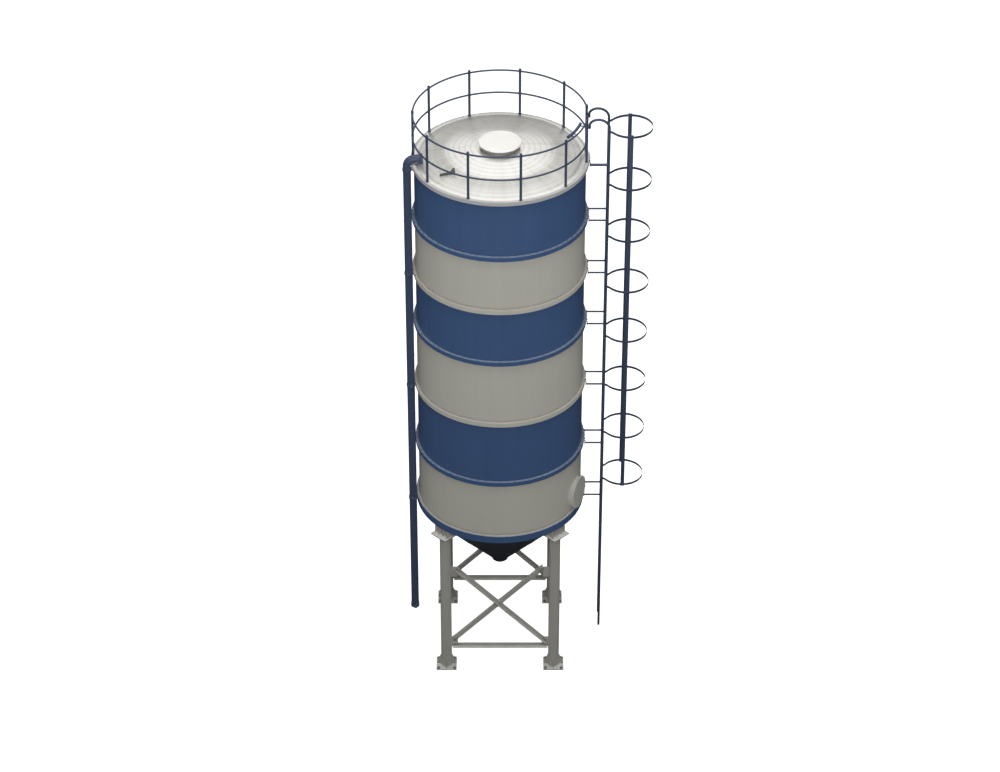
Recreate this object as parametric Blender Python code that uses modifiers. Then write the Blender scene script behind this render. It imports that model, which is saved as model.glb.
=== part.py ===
# Cement silo: a bolted steel shell of six rings on four braced legs,
# with a caged ladder, a guard rail round the roof and a fill pipe.
# Metres, +Z up. The ladder is on the +X side and the fill pipe on the -X side.
# Everything is built about the shell's axis, and at the end the whole silo is
# moved so that the origin is on the ground at the middle of its outer box.

import math

import bmesh
import bpy
from mathutils import Matrix, Vector

# Clearance between pieces that touch
GAP = 0.0003

# Flat sides of a thin tube
TUBE_SIDES = 8

# Shell
SHELL_RADIUS = 1.600
SHEET = 0.005
ROUND = 40                      # flat sides of the shell
BASE_BOTTOM = 3.517             # underside of the base ring
BASE_TOP = 3.670
RING_HEIGHTS = (1.298, 1.399, 1.400, 1.158, 1.158, 1.183)   # lowest ring first
FLANGE_PLATE = 0.008
FLANGE_REACH = 0.055            # how far a joint's band stands out of the shell
FLANGE_BAND = 0.090             # height of that band
LOWER_FLANGE_REACH = 0.040      # the flange of the ring below, hidden in the band

# Roof and its cover
RIM_BAND = 0.076
ROOF_EDGE_RADIUS = 1.560
ROOF_RISE = 0.216
NECK_RADIUS = 0.330
NECK_HEIGHT = 0.045
COVER_RADIUS = 0.400
COVER_SKIRT = 0.030             # how far the cover's skirt hangs down round the neck
COVER_THICKNESS = 0.070
COVER_DISC = 0.030              # thickness of its top disc
COVER_INSET = 0.030             # of the skirt from the disc's edge

# Hopper and outlet
OUTLET_RADIUS = 0.141
OUTLET_BOTTOM = 1.897
OUTLET_FLANGE_RADIUS = 0.160
OUTLET_FLANGE = 0.018

# Legs
LEG_OFFSET = 1.080              # of each leg's axis from the middle, in X and in Y
LEG_RADIUS = 0.1095
LEG_SIDES = 24
FOOT_WIDTH = 0.410
FOOT_PLATE = 0.020
FOOT_GUSSET_HEIGHT = 0.250
GUSSET_PLATE = 0.012
HEAD_WIDTH = 0.400
HEAD_PLATE = 0.025
HEAD_TOP = 3.335
HEAD_RIBS = 4
HEAD_RIB_PITCH = 0.105
HEAD_RIB_OVERHANG = 0.045       # how far a rib stands out of the shell's radius

# Bracing
BRACE_PLANE = 1.100             # middle plane of the gusset plates
BRACE_PLATE = 0.010
BRACE_WIDTH = 0.080             # legs of the steel angle
BRACE_STEEL = 0.008
BRACE_LOW = 0.625               # ends of the crossed bars, above the ground and from the side's middle
BRACE_LOW_REACH = 0.940
BRACE_HIGH = 2.483
BRACE_HIGH_REACH = 0.870
TIE_BOTTOM = 0.500              # underside of the level bar
CORNER_PLATE = (0.125, 0.250)
UPPER_PLATE_BOTTOM = 2.260
CROSSING_PLATE = 0.130

# Guard rail
RAIL_RADIUS = 1.610
POST_TUBE = 0.02415
RAIL_TUBE = 0.0175
POST_COUNT = 11
FIRST_POST = 7.5                # degrees from +X
POST_PITCH = 34.5
TOP_RAIL_HEIGHT = 0.924         # above the roof's rim
MID_RAIL_HEIGHT = 0.449
POST_HEIGHT = 0.985
BAYS_PER_PANEL = 2
GRAB_RADIUS = 1.520             # of the bar beside the ladder's exit, from the silo's axis
GRAB_TUBE = 0.028
GRAB_STUB = 0.012
GRAB_AZIMUTHS = (324.0, 345.0)

# Ladder
LADDER_X = 2.010
STRINGER_TUBE = 0.024
LADDER_BOTTOM = 0.323
RUNG_TUBE = 0.0125
RUNG_PITCH = 0.300
FIRST_RUNG = 0.450
LAST_RUNG = 11.850
STRUT_TUBE = 0.018
RIM_STRUT_TUBE = 0.026
STRUT_BELOW_JOINT = 0.070
BRACKET_PLATE = 0.008
BRACKET_WIDTH = 0.470
BRACKET_HEIGHT = 0.060
ARCH_START = 11.990
ARCH_END = 12.050
ARCH_RISE = 0.150
ARCH_TAIL = 0.060

# Safety cage
HOOP_CENTRE_X = 2.410
HOOP_RADIUS = 0.413
HOOP_STEEL = 0.006
HOOP_HEIGHT = 0.050
HOOP_COUNT = 8
FIRST_HOOP = 4.030
HOOP_PITCH = 1.126
HOOP_STEP = 12                  # degrees each flat of a hoop turns through
HOOP_FLATS = 24
STRAP_WIDTH = 0.075
STRAP_OVERHANG = 0.020

# Fill pipe
PIPE_AZIMUTH = 189.0            # degrees from +X
PIPE_DISTANCE = 1.742           # of its upright run from the silo's axis
PIPE_RADIUS = 0.076
PIPE_SIDES = 12
PIPE_BOTTOM = 0.870
PIPE_TOP = 11.370               # middle of its level run over the rim
PIPE_BEND = 0.130
COUPLING_LENGTH = 0.160
COUPLING_RADIUS = 0.086
COUPLING_BORE = 0.064
SOCKET_OUTER = 1.505
SOCKET_INNER = 1.360
SOCKET_RADIUS = 0.092
CLAMP_HEIGHT = 0.060
CLAMP_WALL = 0.018
CLAMP_WIDTH = 0.060

# Manhole in the lowest ring
MANHOLE_AZIMUTH = -22.5
MANHOLE_HEIGHT = 4.012
MANHOLE_BORE = 0.290
MANHOLE_NECK = 0.315
MANHOLE_FLANGE = 0.332
MANHOLE_FACE = 1.665            # of the neck's flange from the silo's axis
MANHOLE_COVER = 0.025
MANHOLE_SIDES = 32

# Lifting lug on the roof
LUG_PLACE = (-0.965, -0.800)
LUG_LENGTH = 0.280
LUG_HEIGHT = 0.150
LUG_STEEL = 0.016

# Colours, as linear values
BLUE = (0.035, 0.075, 0.190)
GREY = (0.330, 0.325, 0.300)
WHITE = (0.780, 0.770, 0.740)
LEG_GREY = (0.240, 0.240, 0.220)
NAVY = (0.012, 0.018, 0.028)

RIM_TOP = BASE_TOP + sum(RING_HEIGHTS) + FLANGE_PLATE
FLANGE_RADIUS = SHELL_RADIUS + FLANGE_REACH
INNER_RADIUS = SHELL_RADIUS - SHEET
LADDER_HALF = RAIL_RADIUS * math.sin(math.radians(FIRST_POST))


def clear_scene():
    for item in list(bpy.data.objects):
        bpy.data.objects.remove(item, do_unlink=True)


def new_collection(name):
    collection = bpy.data.collections.new(name)
    bpy.context.scene.collection.children.link(collection)
    return collection


def new_material(name, colour, roughness, metallic):
    material = bpy.data.materials.new(name)
    material.use_nodes = True
    shader = material.node_tree.nodes["Principled BSDF"]
    shader.inputs["Base Color"].default_value = (*colour, 1.0)
    shader.inputs["Roughness"].default_value = roughness
    shader.inputs["Metallic"].default_value = metallic
    return material


def place(name, mesh, collection):
    item = bpy.data.objects.new(name, mesh)
    collection.objects.link(item)
    return item


def evaluated_mesh(item):
    depsgraph = bpy.context.evaluated_depsgraph_get()
    return bpy.data.meshes.new_from_object(item.evaluated_get(depsgraph))


def shade(mesh):
    mesh.shade_smooth()
    mesh.set_sharp_from_angle(angle=math.radians(30))


def turned(profile, steps=ROUND, closed=True):
    """A mesh turned round Z from a profile of (radius, height) points, outer side first."""
    mesh = bpy.data.meshes.new("profile")
    points = [(radius, 0.0, height) for radius, height in profile]
    edges = [(index, index + 1) for index in range(len(points) - 1)]
    if closed:
        edges.append((len(points) - 1, 0))
    mesh.from_pydata(points, edges, [])
    item = place("profile", mesh, workshop)
    screw = item.modifiers.new("turn", "SCREW")
    screw.steps = steps
    screw.render_steps = steps
    screw.use_merge_vertices = True
    screw.merge_threshold = 0.0001
    solid = evaluated_mesh(item)
    bpy.data.objects.remove(item)
    return solid


def cylinder(radius, bottom, top, sides):
    builder = bmesh.new()
    bmesh.ops.create_cone(builder, cap_ends=True, segments=sides,
                          radius1=radius, radius2=radius, depth=top - bottom)
    bmesh.ops.translate(builder, verts=builder.verts, vec=(0, 0, (top + bottom) / 2))
    mesh = bpy.data.meshes.new("cylinder")
    builder.to_mesh(mesh)
    builder.free()
    return mesh


def box(low, high):
    size = Vector(high) - Vector(low)
    middle = (Vector(high) + Vector(low)) / 2
    builder = bmesh.new()
    bmesh.ops.create_cube(builder, size=1.0,
                          matrix=Matrix.Translation(middle) @ Matrix.Diagonal((*size, 1.0)))
    mesh = bpy.data.meshes.new("box")
    builder.to_mesh(mesh)
    builder.free()
    return mesh


def curve_mesh(curve):
    """The solid of a curve, its caps welded to its sides."""
    item = place("curve", curve, workshop)
    mesh = evaluated_mesh(item)
    bpy.data.objects.remove(item)
    builder = bmesh.new()
    builder.from_mesh(mesh)
    bmesh.ops.remove_doubles(builder, verts=builder.verts, dist=0.00005)
    builder.to_mesh(mesh)
    builder.free()
    return mesh


def tube(points, radius, sides=TUBE_SIDES):
    """A round bar through a list of points."""
    curve = bpy.data.curves.new("tube", "CURVE")
    curve.dimensions = "3D"
    curve.bevel_depth = radius
    curve.bevel_resolution = sides // 2 - 2
    curve.use_fill_caps = True
    spline = curve.splines.new("POLY")
    spline.points.add(len(points) - 1)
    for control, point in zip(spline.points, points):
        control.co = (*point, 1.0)
        control.tilt = math.pi / sides
    return curve_mesh(curve)


def plate(outline, thickness):
    """A flat outline in X and Y, its thickness half above and half below Z = 0."""
    curve = bpy.data.curves.new("outline", "CURVE")
    curve.dimensions = "2D"
    curve.fill_mode = "BOTH"
    curve.extrude = thickness / 2
    spline = curve.splines.new("POLY")
    spline.points.add(len(outline) - 1)
    for control, point in zip(spline.points, outline):
        control.co = (*point, 0.0, 1.0)
    spline.use_cyclic_u = True
    return curve_mesh(curve)


def moved(mesh, matrix):
    mesh.transform(matrix)
    return mesh


def combine(operation, body, tools):
    """The mesh left when every tool is joined to the body or cut from it."""
    item = place("body", body, workshop)
    bench = bpy.data.collections.new("tools")
    workshop.children.link(bench)
    tool_items = [place("tool", tool, bench) for tool in tools]
    boolean = item.modifiers.new("combine", "BOOLEAN")
    boolean.operation = operation
    boolean.solver = "EXACT"
    boolean.operand_type = "COLLECTION"
    boolean.collection = bench
    result = evaluated_mesh(item)
    for tool in tool_items:
        bpy.data.objects.remove(tool)
    bpy.data.collections.remove(bench)
    bpy.data.objects.remove(item)
    builder = bmesh.new()
    builder.from_mesh(result)
    bmesh.ops.triangulate(builder, faces=builder.faces, quad_method="BEAUTY", ngon_method="BEAUTY")
    builder.to_mesh(result)
    builder.free()
    return result


def fused(meshes):
    return combine("UNION", meshes[0], meshes[1:])


def cut(mesh, *tools):
    return combine("DIFFERENCE", mesh, tools)


def finish(name, mesh, material, matrix=None):
    """A named piece of the silo, placed by its object's matrix."""
    mesh.name = name
    mesh.materials.clear()
    mesh.materials.append(material)
    shade(mesh)
    item = place(name, mesh, silo)
    if matrix is not None:
        item.matrix_world = matrix
    return item


def turn_z(degrees):
    return Matrix.Rotation(math.radians(degrees), 4, "Z")


def round_reach(radius, sides, offset):
    """How far a many-sided bar with a corner on its axis reaches at a sideways offset."""
    step = 2 * math.pi / sides
    index = 0
    while radius * math.sin((index + 1) * step) < offset:
        index += 1
    near = Vector((radius * math.cos(index * step), radius * math.sin(index * step)))
    far = Vector((radius * math.cos((index + 1) * step), radius * math.sin((index + 1) * step)))
    share = (offset - near.y) / (far.y - near.y)
    return near.x + share * (far.x - near.x)


def ring_levels():
    """The level where each ring stands on the one below, and last the level of the rim."""
    levels = [BASE_TOP]
    for height in RING_HEIGHTS:
        levels.append(levels[-1] + height)
    return levels


def shell_ring(bottom, top, has_band):
    """A ring's wall with its two flanges, the lower one with a band turned down over the joint."""
    lower = FLANGE_RADIUS if has_band else SHELL_RADIUS + LOWER_FLANGE_REACH
    upper = SHELL_RADIUS + LOWER_FLANGE_REACH
    foot = bottom + GAP
    profile = [
        (upper, top),
        (upper, top - FLANGE_PLATE),
        (SHELL_RADIUS, top - FLANGE_PLATE),
        (SHELL_RADIUS, foot + FLANGE_PLATE),
        (lower, foot + FLANGE_PLATE),
    ]
    if has_band:
        hem = foot + FLANGE_PLATE - FLANGE_BAND
        profile += [(lower, hem), (lower - FLANGE_PLATE, hem), (lower - FLANGE_PLATE, foot)]
    else:
        profile.append((lower, foot))
    profile += [(INNER_RADIUS, foot), (INNER_RADIUS, top)]
    return turned(profile)


def build_shell():
    levels = ring_levels()
    for index in range(len(RING_HEIGHTS)):
        number = len(RING_HEIGHTS) - index
        mesh = shell_ring(levels[index], levels[index + 1], has_band=index > 0)
        if index == 0:
            bore = cylinder(MANHOLE_BORE, 1.3, 1.9, MANHOLE_SIDES)
            mesh = cut(mesh, moved(bore, manhole_matrix()))
        paint = blue if number % 2 else grey
        finish(f"shell_ring_{number}", mesh, paint)


def build_roof():
    seat = RIM_TOP - FLANGE_PLATE + GAP
    hem = RIM_TOP - RIM_BAND
    peak = RIM_TOP + ROOF_RISE
    inner_neck = NECK_RADIUS - FLANGE_PLATE
    profile = [
        (NECK_RADIUS, peak + NECK_HEIGHT),
        (NECK_RADIUS, peak),
        (ROOF_EDGE_RADIUS, RIM_TOP),
        (FLANGE_RADIUS, RIM_TOP),
        (FLANGE_RADIUS, hem),
        (FLANGE_RADIUS - FLANGE_PLATE, hem),
        (FLANGE_RADIUS - FLANGE_PLATE, seat),
        (ROOF_EDGE_RADIUS - SHEET, seat),
        (inner_neck, peak - SHEET),
        (inner_neck, peak + NECK_HEIGHT),
    ]
    finish("roof", turned(profile), white)

    seat = peak + NECK_HEIGHT + GAP
    top = seat + COVER_THICKNESS
    skirt = COVER_RADIUS - COVER_INSET
    profile = [
        (0.0, top),
        (COVER_RADIUS - 0.020, top),
        (COVER_RADIUS, top - 0.012),
        (COVER_RADIUS, top - COVER_DISC),
        (skirt, top - COVER_DISC),
        (skirt, seat - COVER_SKIRT),
        (skirt - 0.008, seat - COVER_SKIRT),
        (skirt - 0.008, seat),
        (0.0, seat),
    ]
    finish("roof_cover", turned(profile, MANHOLE_SIDES, closed=False), white)


def roof_level(radius):
    slope = ROOF_RISE / (ROOF_EDGE_RADIUS - NECK_RADIUS)
    return RIM_TOP + (ROOF_EDGE_RADIUS - radius) * slope


def roof_cutter():
    """A solid of everything below the roof's outer surface."""
    profile = [
        (0.0, roof_level(0.0) + GAP),
        (ROOF_EDGE_RADIUS, RIM_TOP + GAP),
        (FLANGE_RADIUS, RIM_TOP + GAP),
        (FLANGE_RADIUS, RIM_TOP - 0.5),
        (0.0, RIM_TOP - 0.5),
    ]
    return turned(profile, closed=False)


def build_roof_lug():
    half = LUG_LENGTH / 2
    outline = [(-half, -0.06), (half, -0.06), (half, LUG_HEIGHT),
               (half - 0.08, LUG_HEIGHT), (-half, 0.03)]
    mesh = plate(outline, LUG_STEEL)
    stand = Matrix.Rotation(math.radians(90), 4, "X")
    base = roof_level(math.hypot(*LUG_PLACE))
    mesh = moved(mesh, Matrix.Translation((*LUG_PLACE, base)) @ stand)
    finish("roof_lug", cut(mesh, roof_cutter()), leg_grey)


def hopper_radius(height):
    """Outer radius of the hopper at a height."""
    slope = (SHELL_RADIUS - OUTLET_RADIUS) / (BASE_BOTTOM - OUTLET_BOTTOM - OUTLET_FLANGE)
    return SHELL_RADIUS - (BASE_BOTTOM - height) * slope


def build_base():
    inner_band = FLANGE_RADIUS - FLANGE_PLATE
    under_plate = BASE_TOP - FLANGE_PLATE
    profile = [
        (FLANGE_RADIUS, BASE_TOP),
        (FLANGE_RADIUS, BASE_BOTTOM),
        (inner_band, BASE_BOTTOM),
        (inner_band, under_plate),
        (SHELL_RADIUS, under_plate),
        (SHELL_RADIUS, BASE_BOTTOM),
        (INNER_RADIUS, BASE_BOTTOM),
        (INNER_RADIUS, BASE_TOP),
    ]
    finish("base_ring", turned(profile), blue)

    top = BASE_BOTTOM - GAP
    bottom = OUTLET_BOTTOM + OUTLET_FLANGE + GAP
    wall = SHEET * 1.35         # the sheet measured level, across its slope
    profile = [
        (hopper_radius(top), top),
        (hopper_radius(bottom), bottom),
        (hopper_radius(bottom) - wall, bottom),
        (hopper_radius(top) - wall, top),
    ]
    finish("hopper_cone", turned(profile), navy)

    bore = hopper_radius(bottom) - wall
    profile = [
        (OUTLET_FLANGE_RADIUS, OUTLET_BOTTOM + OUTLET_FLANGE),
        (OUTLET_FLANGE_RADIUS, OUTLET_BOTTOM),
        (bore, OUTLET_BOTTOM),
        (bore, OUTLET_BOTTOM + OUTLET_FLANGE),
    ]
    finish("outlet_flange", turned(profile, MANHOLE_SIDES), navy)


def leg_mesh():
    """A leg standing at the origin with its head turned to face +X."""
    post = cylinder(LEG_RADIUS, FOOT_PLATE / 2, HEAD_TOP - HEAD_PLATE / 2, LEG_SIDES)
    half = FOOT_WIDTH / 2
    foot = box((-half, -half, 0), (half, half, FOOT_PLATE))
    pieces = [foot]
    for quarter in range(4):
        outline = [
            (LEG_RADIUS - 0.010, FOOT_PLATE / 2),
            (half - 0.010, FOOT_PLATE / 2),
            (half - 0.010, FOOT_PLATE + 0.030),
            (LEG_RADIUS + 0.008, FOOT_GUSSET_HEIGHT),
            (LEG_RADIUS - 0.010, FOOT_GUSSET_HEIGHT),
        ]
        gusset = moved(plate(outline, GUSSET_PLATE), Matrix.Rotation(math.radians(90), 4, "X"))
        pieces.append(moved(gusset, turn_z(90 * quarter)))
    return post, pieces


def head_pieces():
    """Head plate and ribs of a leg whose axis is on +X at its distance from the middle."""
    distance = LEG_OFFSET * math.sqrt(2)
    half = HEAD_WIDTH / 2
    pieces = [box((distance - half, -half, HEAD_TOP - HEAD_PLATE), (distance + half, half, HEAD_TOP))]
    for index in range(HEAD_RIBS):
        middle = (index - (HEAD_RIBS - 1) / 2) * HEAD_RIB_PITCH
        pieces.append(box((distance - half + 0.010, middle - GUSSET_PLATE / 2, HEAD_TOP - HEAD_PLATE / 2),
                          (SHELL_RADIUS + HEAD_RIB_OVERHANG, middle + GUSSET_PLATE / 2,
                           BASE_BOTTOM - GAP)))
    return pieces


def hopper_cutter():
    top = BASE_BOTTOM + 0.1
    bottom = OUTLET_BOTTOM + OUTLET_FLANGE
    profile = [
        (0.0, top),
        (hopper_radius(top) + 2 * GAP, top),
        (hopper_radius(bottom) + 2 * GAP, bottom),
        (0.0, bottom),
    ]
    return turned(profile, closed=False)


def build_legs():
    names = {45: "leg_rear_right", 135: "leg_rear_left", 225: "leg_front_left", 315: "leg_front_right"}
    for azimuth, name in names.items():
        across = LEG_OFFSET if azimuth in (45, 315) else -LEG_OFFSET
        along = LEG_OFFSET if azimuth in (45, 135) else -LEG_OFFSET
        spot = Matrix.Translation((across, along, 0))
        post, pieces = leg_mesh()
        meshes = [moved(post, spot)]
        meshes += [moved(piece, spot) for piece in pieces]
        meshes += [moved(piece, turn_z(azimuth)) for piece in head_pieces()]
        finish(name, cut(fused(meshes), hopper_cutter()), leg_grey)


def steel_angle(start, end, plane, outward, edge):
    """A bar of L section along one side, its flat leg on a plane and the other leg at one edge."""
    start = Vector(start)
    end = Vector(end)
    along = (end - start).normalized()
    out = Vector((0, outward, 0))
    across = out.cross(along)
    if across.z < 0:
        start, end = end, start
        along = -along
        across = -across
    half = BRACE_WIDTH / 2
    outline = [
        (-half, 0), (half, 0), (half, BRACE_STEEL),
        (-half + BRACE_STEEL, BRACE_STEEL), (-half + BRACE_STEEL, BRACE_WIDTH), (-half, BRACE_WIDTH),
    ]
    if edge == "upper":
        outline = [(-x, y) for x, y in reversed(outline)]
    mesh = plate(outline, (end - start).length)
    middle = (start + end) / 2
    middle.y = plane
    frame = Matrix((across, out, along)).transposed().to_4x4()
    return moved(mesh, Matrix.Translation(middle) @ frame)


def build_bracing():
    """One flat side of crossed bars with its level bar, set on the four sides."""
    outer = -BRACE_PLANE - BRACE_PLATE / 2
    inner = -BRACE_PLANE + BRACE_PLATE / 2
    sink = 0.001
    tie = TIE_BOTTOM + BRACE_WIDTH / 2
    front_bar = steel_angle((-BRACE_HIGH_REACH, 0, BRACE_HIGH), (BRACE_LOW_REACH, 0, BRACE_LOW),
                            outer + sink, -1, "lower")
    back_bar = steel_angle((-BRACE_LOW_REACH, 0, BRACE_LOW), (BRACE_HIGH_REACH, 0, BRACE_HIGH),
                           inner - sink, 1, "upper")
    reach = BRACE_LOW_REACH + 0.010
    level_bar = steel_angle((-reach, 0, tie), (reach, 0, tie), outer + sink, -1, "lower")
    half = CROSSING_PLATE / 2
    share = BRACE_LOW_REACH / (BRACE_LOW_REACH + BRACE_HIGH_REACH)
    middle = BRACE_LOW + (BRACE_HIGH - BRACE_LOW) * share
    plates = [box((-half, outer, middle - half), (half, inner, middle + half))]
    width, height = CORNER_PLATE
    offset = BRACE_PLANE - BRACE_PLATE / 2 - LEG_OFFSET
    edge = LEG_OFFSET - round_reach(LEG_RADIUS, LEG_SIDES, offset) - GAP
    for side in (-1, 1):
        for low in (TIE_BOTTOM - 0.020, UPPER_PLATE_BOTTOM):
            ends = sorted((side * edge, side * (edge - width)))
            plates.append(box((ends[0], outer, low), (ends[1], inner, low + height)))
    mesh = fused([front_bar, back_bar, level_bar] + plates)
    finish("bracing_front", mesh, leg_grey)
    finish("bracing_rear", mesh, leg_grey, Matrix.Translation((0, 2 * BRACE_PLANE, 0)))
    finish("bracing_right", mesh, leg_grey, turn_z(90))
    finish("bracing_left", mesh, leg_grey, turn_z(-90))


def arc_points(radius, level, start, end, steps):
    """Points on a level circle about the silo's axis, from one azimuth to another."""
    points = []
    for index in range(steps + 1):
        angle = math.radians(start + (end - start) * index / steps)
        points.append((radius * math.cos(angle), radius * math.sin(angle), level))
    return points


def grab_bar():
    """A short bar inside the top rail, for a hand coming off the ladder, on a stub near each end."""
    level = RIM_TOP + TOP_RAIL_HEIGHT
    first, last = GRAB_AZIMUTHS
    meshes = [tube(arc_points(GRAB_RADIUS, level, first, last, 6), GRAB_TUBE)]
    for azimuth in (first + 3, last - 3):
        stub = tube([(GRAB_RADIUS, 0, level), (RAIL_RADIUS, 0, level)], GRAB_STUB)
        meshes.append(moved(stub, turn_z(azimuth)))
    return meshes


def build_guard_rail():
    post_angles = [FIRST_POST + POST_PITCH * index for index in range(POST_COUNT)]
    panels = (POST_COUNT - 1) // BAYS_PER_PANEL
    stop_short = math.degrees((POST_TUBE + GAP) / RAIL_RADIUS)
    for panel in range(panels):
        first = panel * BAYS_PER_PANEL
        last = first + BAYS_PER_PANEL
        is_end = panel == panels - 1
        end_angle = post_angles[last] if is_end else post_angles[last] - stop_short
        meshes = []
        for index in range(first, last + 1 if is_end else last):
            angle = math.radians(post_angles[index])
            foot = Vector((RAIL_RADIUS * math.cos(angle), RAIL_RADIUS * math.sin(angle), RIM_TOP + GAP))
            head = foot + Vector((0, 0, POST_HEIGHT))
            meshes.append(tube([foot, head], POST_TUBE))
        for height in (MID_RAIL_HEIGHT, TOP_RAIL_HEIGHT):
            points = arc_points(RAIL_RADIUS, RIM_TOP + height, post_angles[first], end_angle, 8)
            meshes.append(tube(points, RAIL_TUBE))
        if is_end:
            meshes += grab_bar()
        finish(f"guard_rail_{panel + 1}", fused(meshes), blue)


def strut_levels():
    """Where the ladder is held: at the base ring, at each joint and at the rim."""
    levels = [BASE_TOP - 0.040]
    levels += [level - STRUT_BELOW_JOINT for level in ring_levels()[1:-1]]
    levels.append(RIM_TOP - RIM_BAND / 2 - 0.020)
    return levels


def stringer_points(side):
    """A stringer from its foot, over the arch and down beside the guard rail's post."""
    tail = RAIL_RADIUS * math.cos(math.radians(FIRST_POST)) + POST_TUBE + STRINGER_TUBE + GAP
    across = side * LADDER_HALF
    points = [(LADDER_X, across, LADDER_BOTTOM)]
    steps = 10
    middle = (LADDER_X + tail) / 2
    half = (LADDER_X - tail) / 2
    for index in range(steps + 1):
        angle = math.pi * index / steps
        base = ARCH_START + (ARCH_END - ARCH_START) * index / steps
        points.append((middle + half * math.cos(angle), across, base + ARCH_RISE * math.sin(angle)))
    points.append((tail, across, ARCH_END - ARCH_TAIL))
    return points


def stringer_flat():
    """From a stringer's axis to its flat sides."""
    return STRINGER_TUBE * math.cos(math.pi / TUBE_SIDES)


def build_ladder():
    meshes = [tube(stringer_points(side), STRINGER_TUBE) for side in (-1, 1)]
    rungs = round((LAST_RUNG - FIRST_RUNG) / RUNG_PITCH) + 1
    for index in range(rungs):
        level = FIRST_RUNG + RUNG_PITCH * index
        meshes.append(tube([(LADDER_X, -LADDER_HALF, level), (LADDER_X, LADDER_HALF, level)],
                           RUNG_TUBE, sides=6))
    finish("ladder", fused(meshes), blue)


def build_ladder_brackets():
    """A plate on the shell's joint with a strut to each stringer; the rim has its front strut only."""
    back = FLANGE_RADIUS + GAP
    end = LADDER_X - stringer_flat() - GAP
    half = BRACKET_WIDTH / 2
    levels = strut_levels()
    for number, level in enumerate(levels, start=1):
        is_rim = number == len(levels)
        meshes = [box((back, -half, level - BRACKET_HEIGHT / 2),
                      (back + BRACKET_PLATE, half, level + BRACKET_HEIGHT / 2))]
        for side in (-1,) if is_rim else (-1, 1):
            across = side * LADDER_HALF
            meshes.append(tube([(back + BRACKET_PLATE / 2, across, level), (end, across, level)],
                               RIM_STRUT_TUBE if is_rim else STRUT_TUBE))
        finish(f"ladder_bracket_{number}", fused(meshes), blue)


def hoop_outline():
    """The hoop seen from above: an open ring whose two ends reach the stringers."""
    inner = HOOP_RADIUS - HOOP_STEEL
    face = LADDER_X + stringer_flat() + GAP - HOOP_CENTRE_X
    angles = [math.radians(HOOP_STEP * (HOOP_FLATS / 2 - index)) for index in range(HOOP_FLATS + 1)]
    outer_arc = [(HOOP_RADIUS * math.cos(angle), HOOP_RADIUS * math.sin(angle)) for angle in angles]
    inner_arc = [(inner * math.cos(angle), inner * math.sin(angle)) for angle in reversed(angles)]
    tab_out = LADDER_HALF
    tab_in = LADDER_HALF - HOOP_STEEL
    return ([(face, tab_in), (face, tab_out)] + outer_arc + [(face, -tab_out), (face, -tab_in)] + inner_arc)


def build_cage():
    hoop = plate(hoop_outline(), HOOP_HEIGHT)
    for index in range(HOOP_COUNT):
        level = FIRST_HOOP + HOOP_PITCH * index
        finish(f"cage_hoop_{index + 1}", hoop, blue, Matrix.Translation((HOOP_CENTRE_X, 0, level)))
    face = (HOOP_RADIUS - HOOP_STEEL) * math.cos(math.radians(HOOP_STEP / 2)) - GAP
    low = FIRST_HOOP - HOOP_HEIGHT / 2 - STRAP_OVERHANG
    high = FIRST_HOOP + HOOP_PITCH * (HOOP_COUNT - 1) + HOOP_HEIGHT / 2 + STRAP_OVERHANG
    half = STRAP_WIDTH / 2
    for side, name in ((-1, "cage_strap_front"), (1, "cage_strap_rear")):
        ends = sorted((side * face, side * (face - HOOP_STEEL)))
        mesh = box((HOOP_CENTRE_X - half, ends[0], low), (HOOP_CENTRE_X + half, ends[1], high))
        finish(name, mesh, blue)


def build_fill_pipe():
    seat = PIPE_BOTTOM + COUPLING_LENGTH
    points = [(PIPE_DISTANCE, 0, seat + GAP)]
    steps = 6
    for index in range(steps + 1):
        angle = math.pi / 2 * index / steps
        points.append((PIPE_DISTANCE - PIPE_BEND + PIPE_BEND * math.cos(angle), 0,
                       PIPE_TOP - PIPE_BEND + PIPE_BEND * math.sin(angle)))
    points.append((SOCKET_OUTER + GAP, 0, PIPE_TOP))
    turn = turn_z(PIPE_AZIMUTH)
    finish("fill_pipe", moved(tube(points, PIPE_RADIUS, PIPE_SIDES), turn), blue)

    profile = [
        (COUPLING_RADIUS, seat),
        (COUPLING_RADIUS, PIPE_BOTTOM),
        (COUPLING_BORE, PIPE_BOTTOM),
        (COUPLING_BORE, seat),
    ]
    spot = Matrix.Translation((PIPE_DISTANCE, 0, 0))
    finish("fill_coupling", moved(turned(profile, 16), turn @ spot), leg_grey)

    lay = Matrix.Rotation(math.radians(90), 4, "Y")
    socket = moved(cylinder(SOCKET_RADIUS, SOCKET_INNER, SOCKET_OUTER, 16), lay)
    socket = moved(socket, turn @ Matrix.Translation((0, 0, PIPE_TOP)))
    finish("fill_pipe_socket", cut(socket, roof_cutter()), leg_grey)


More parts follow.
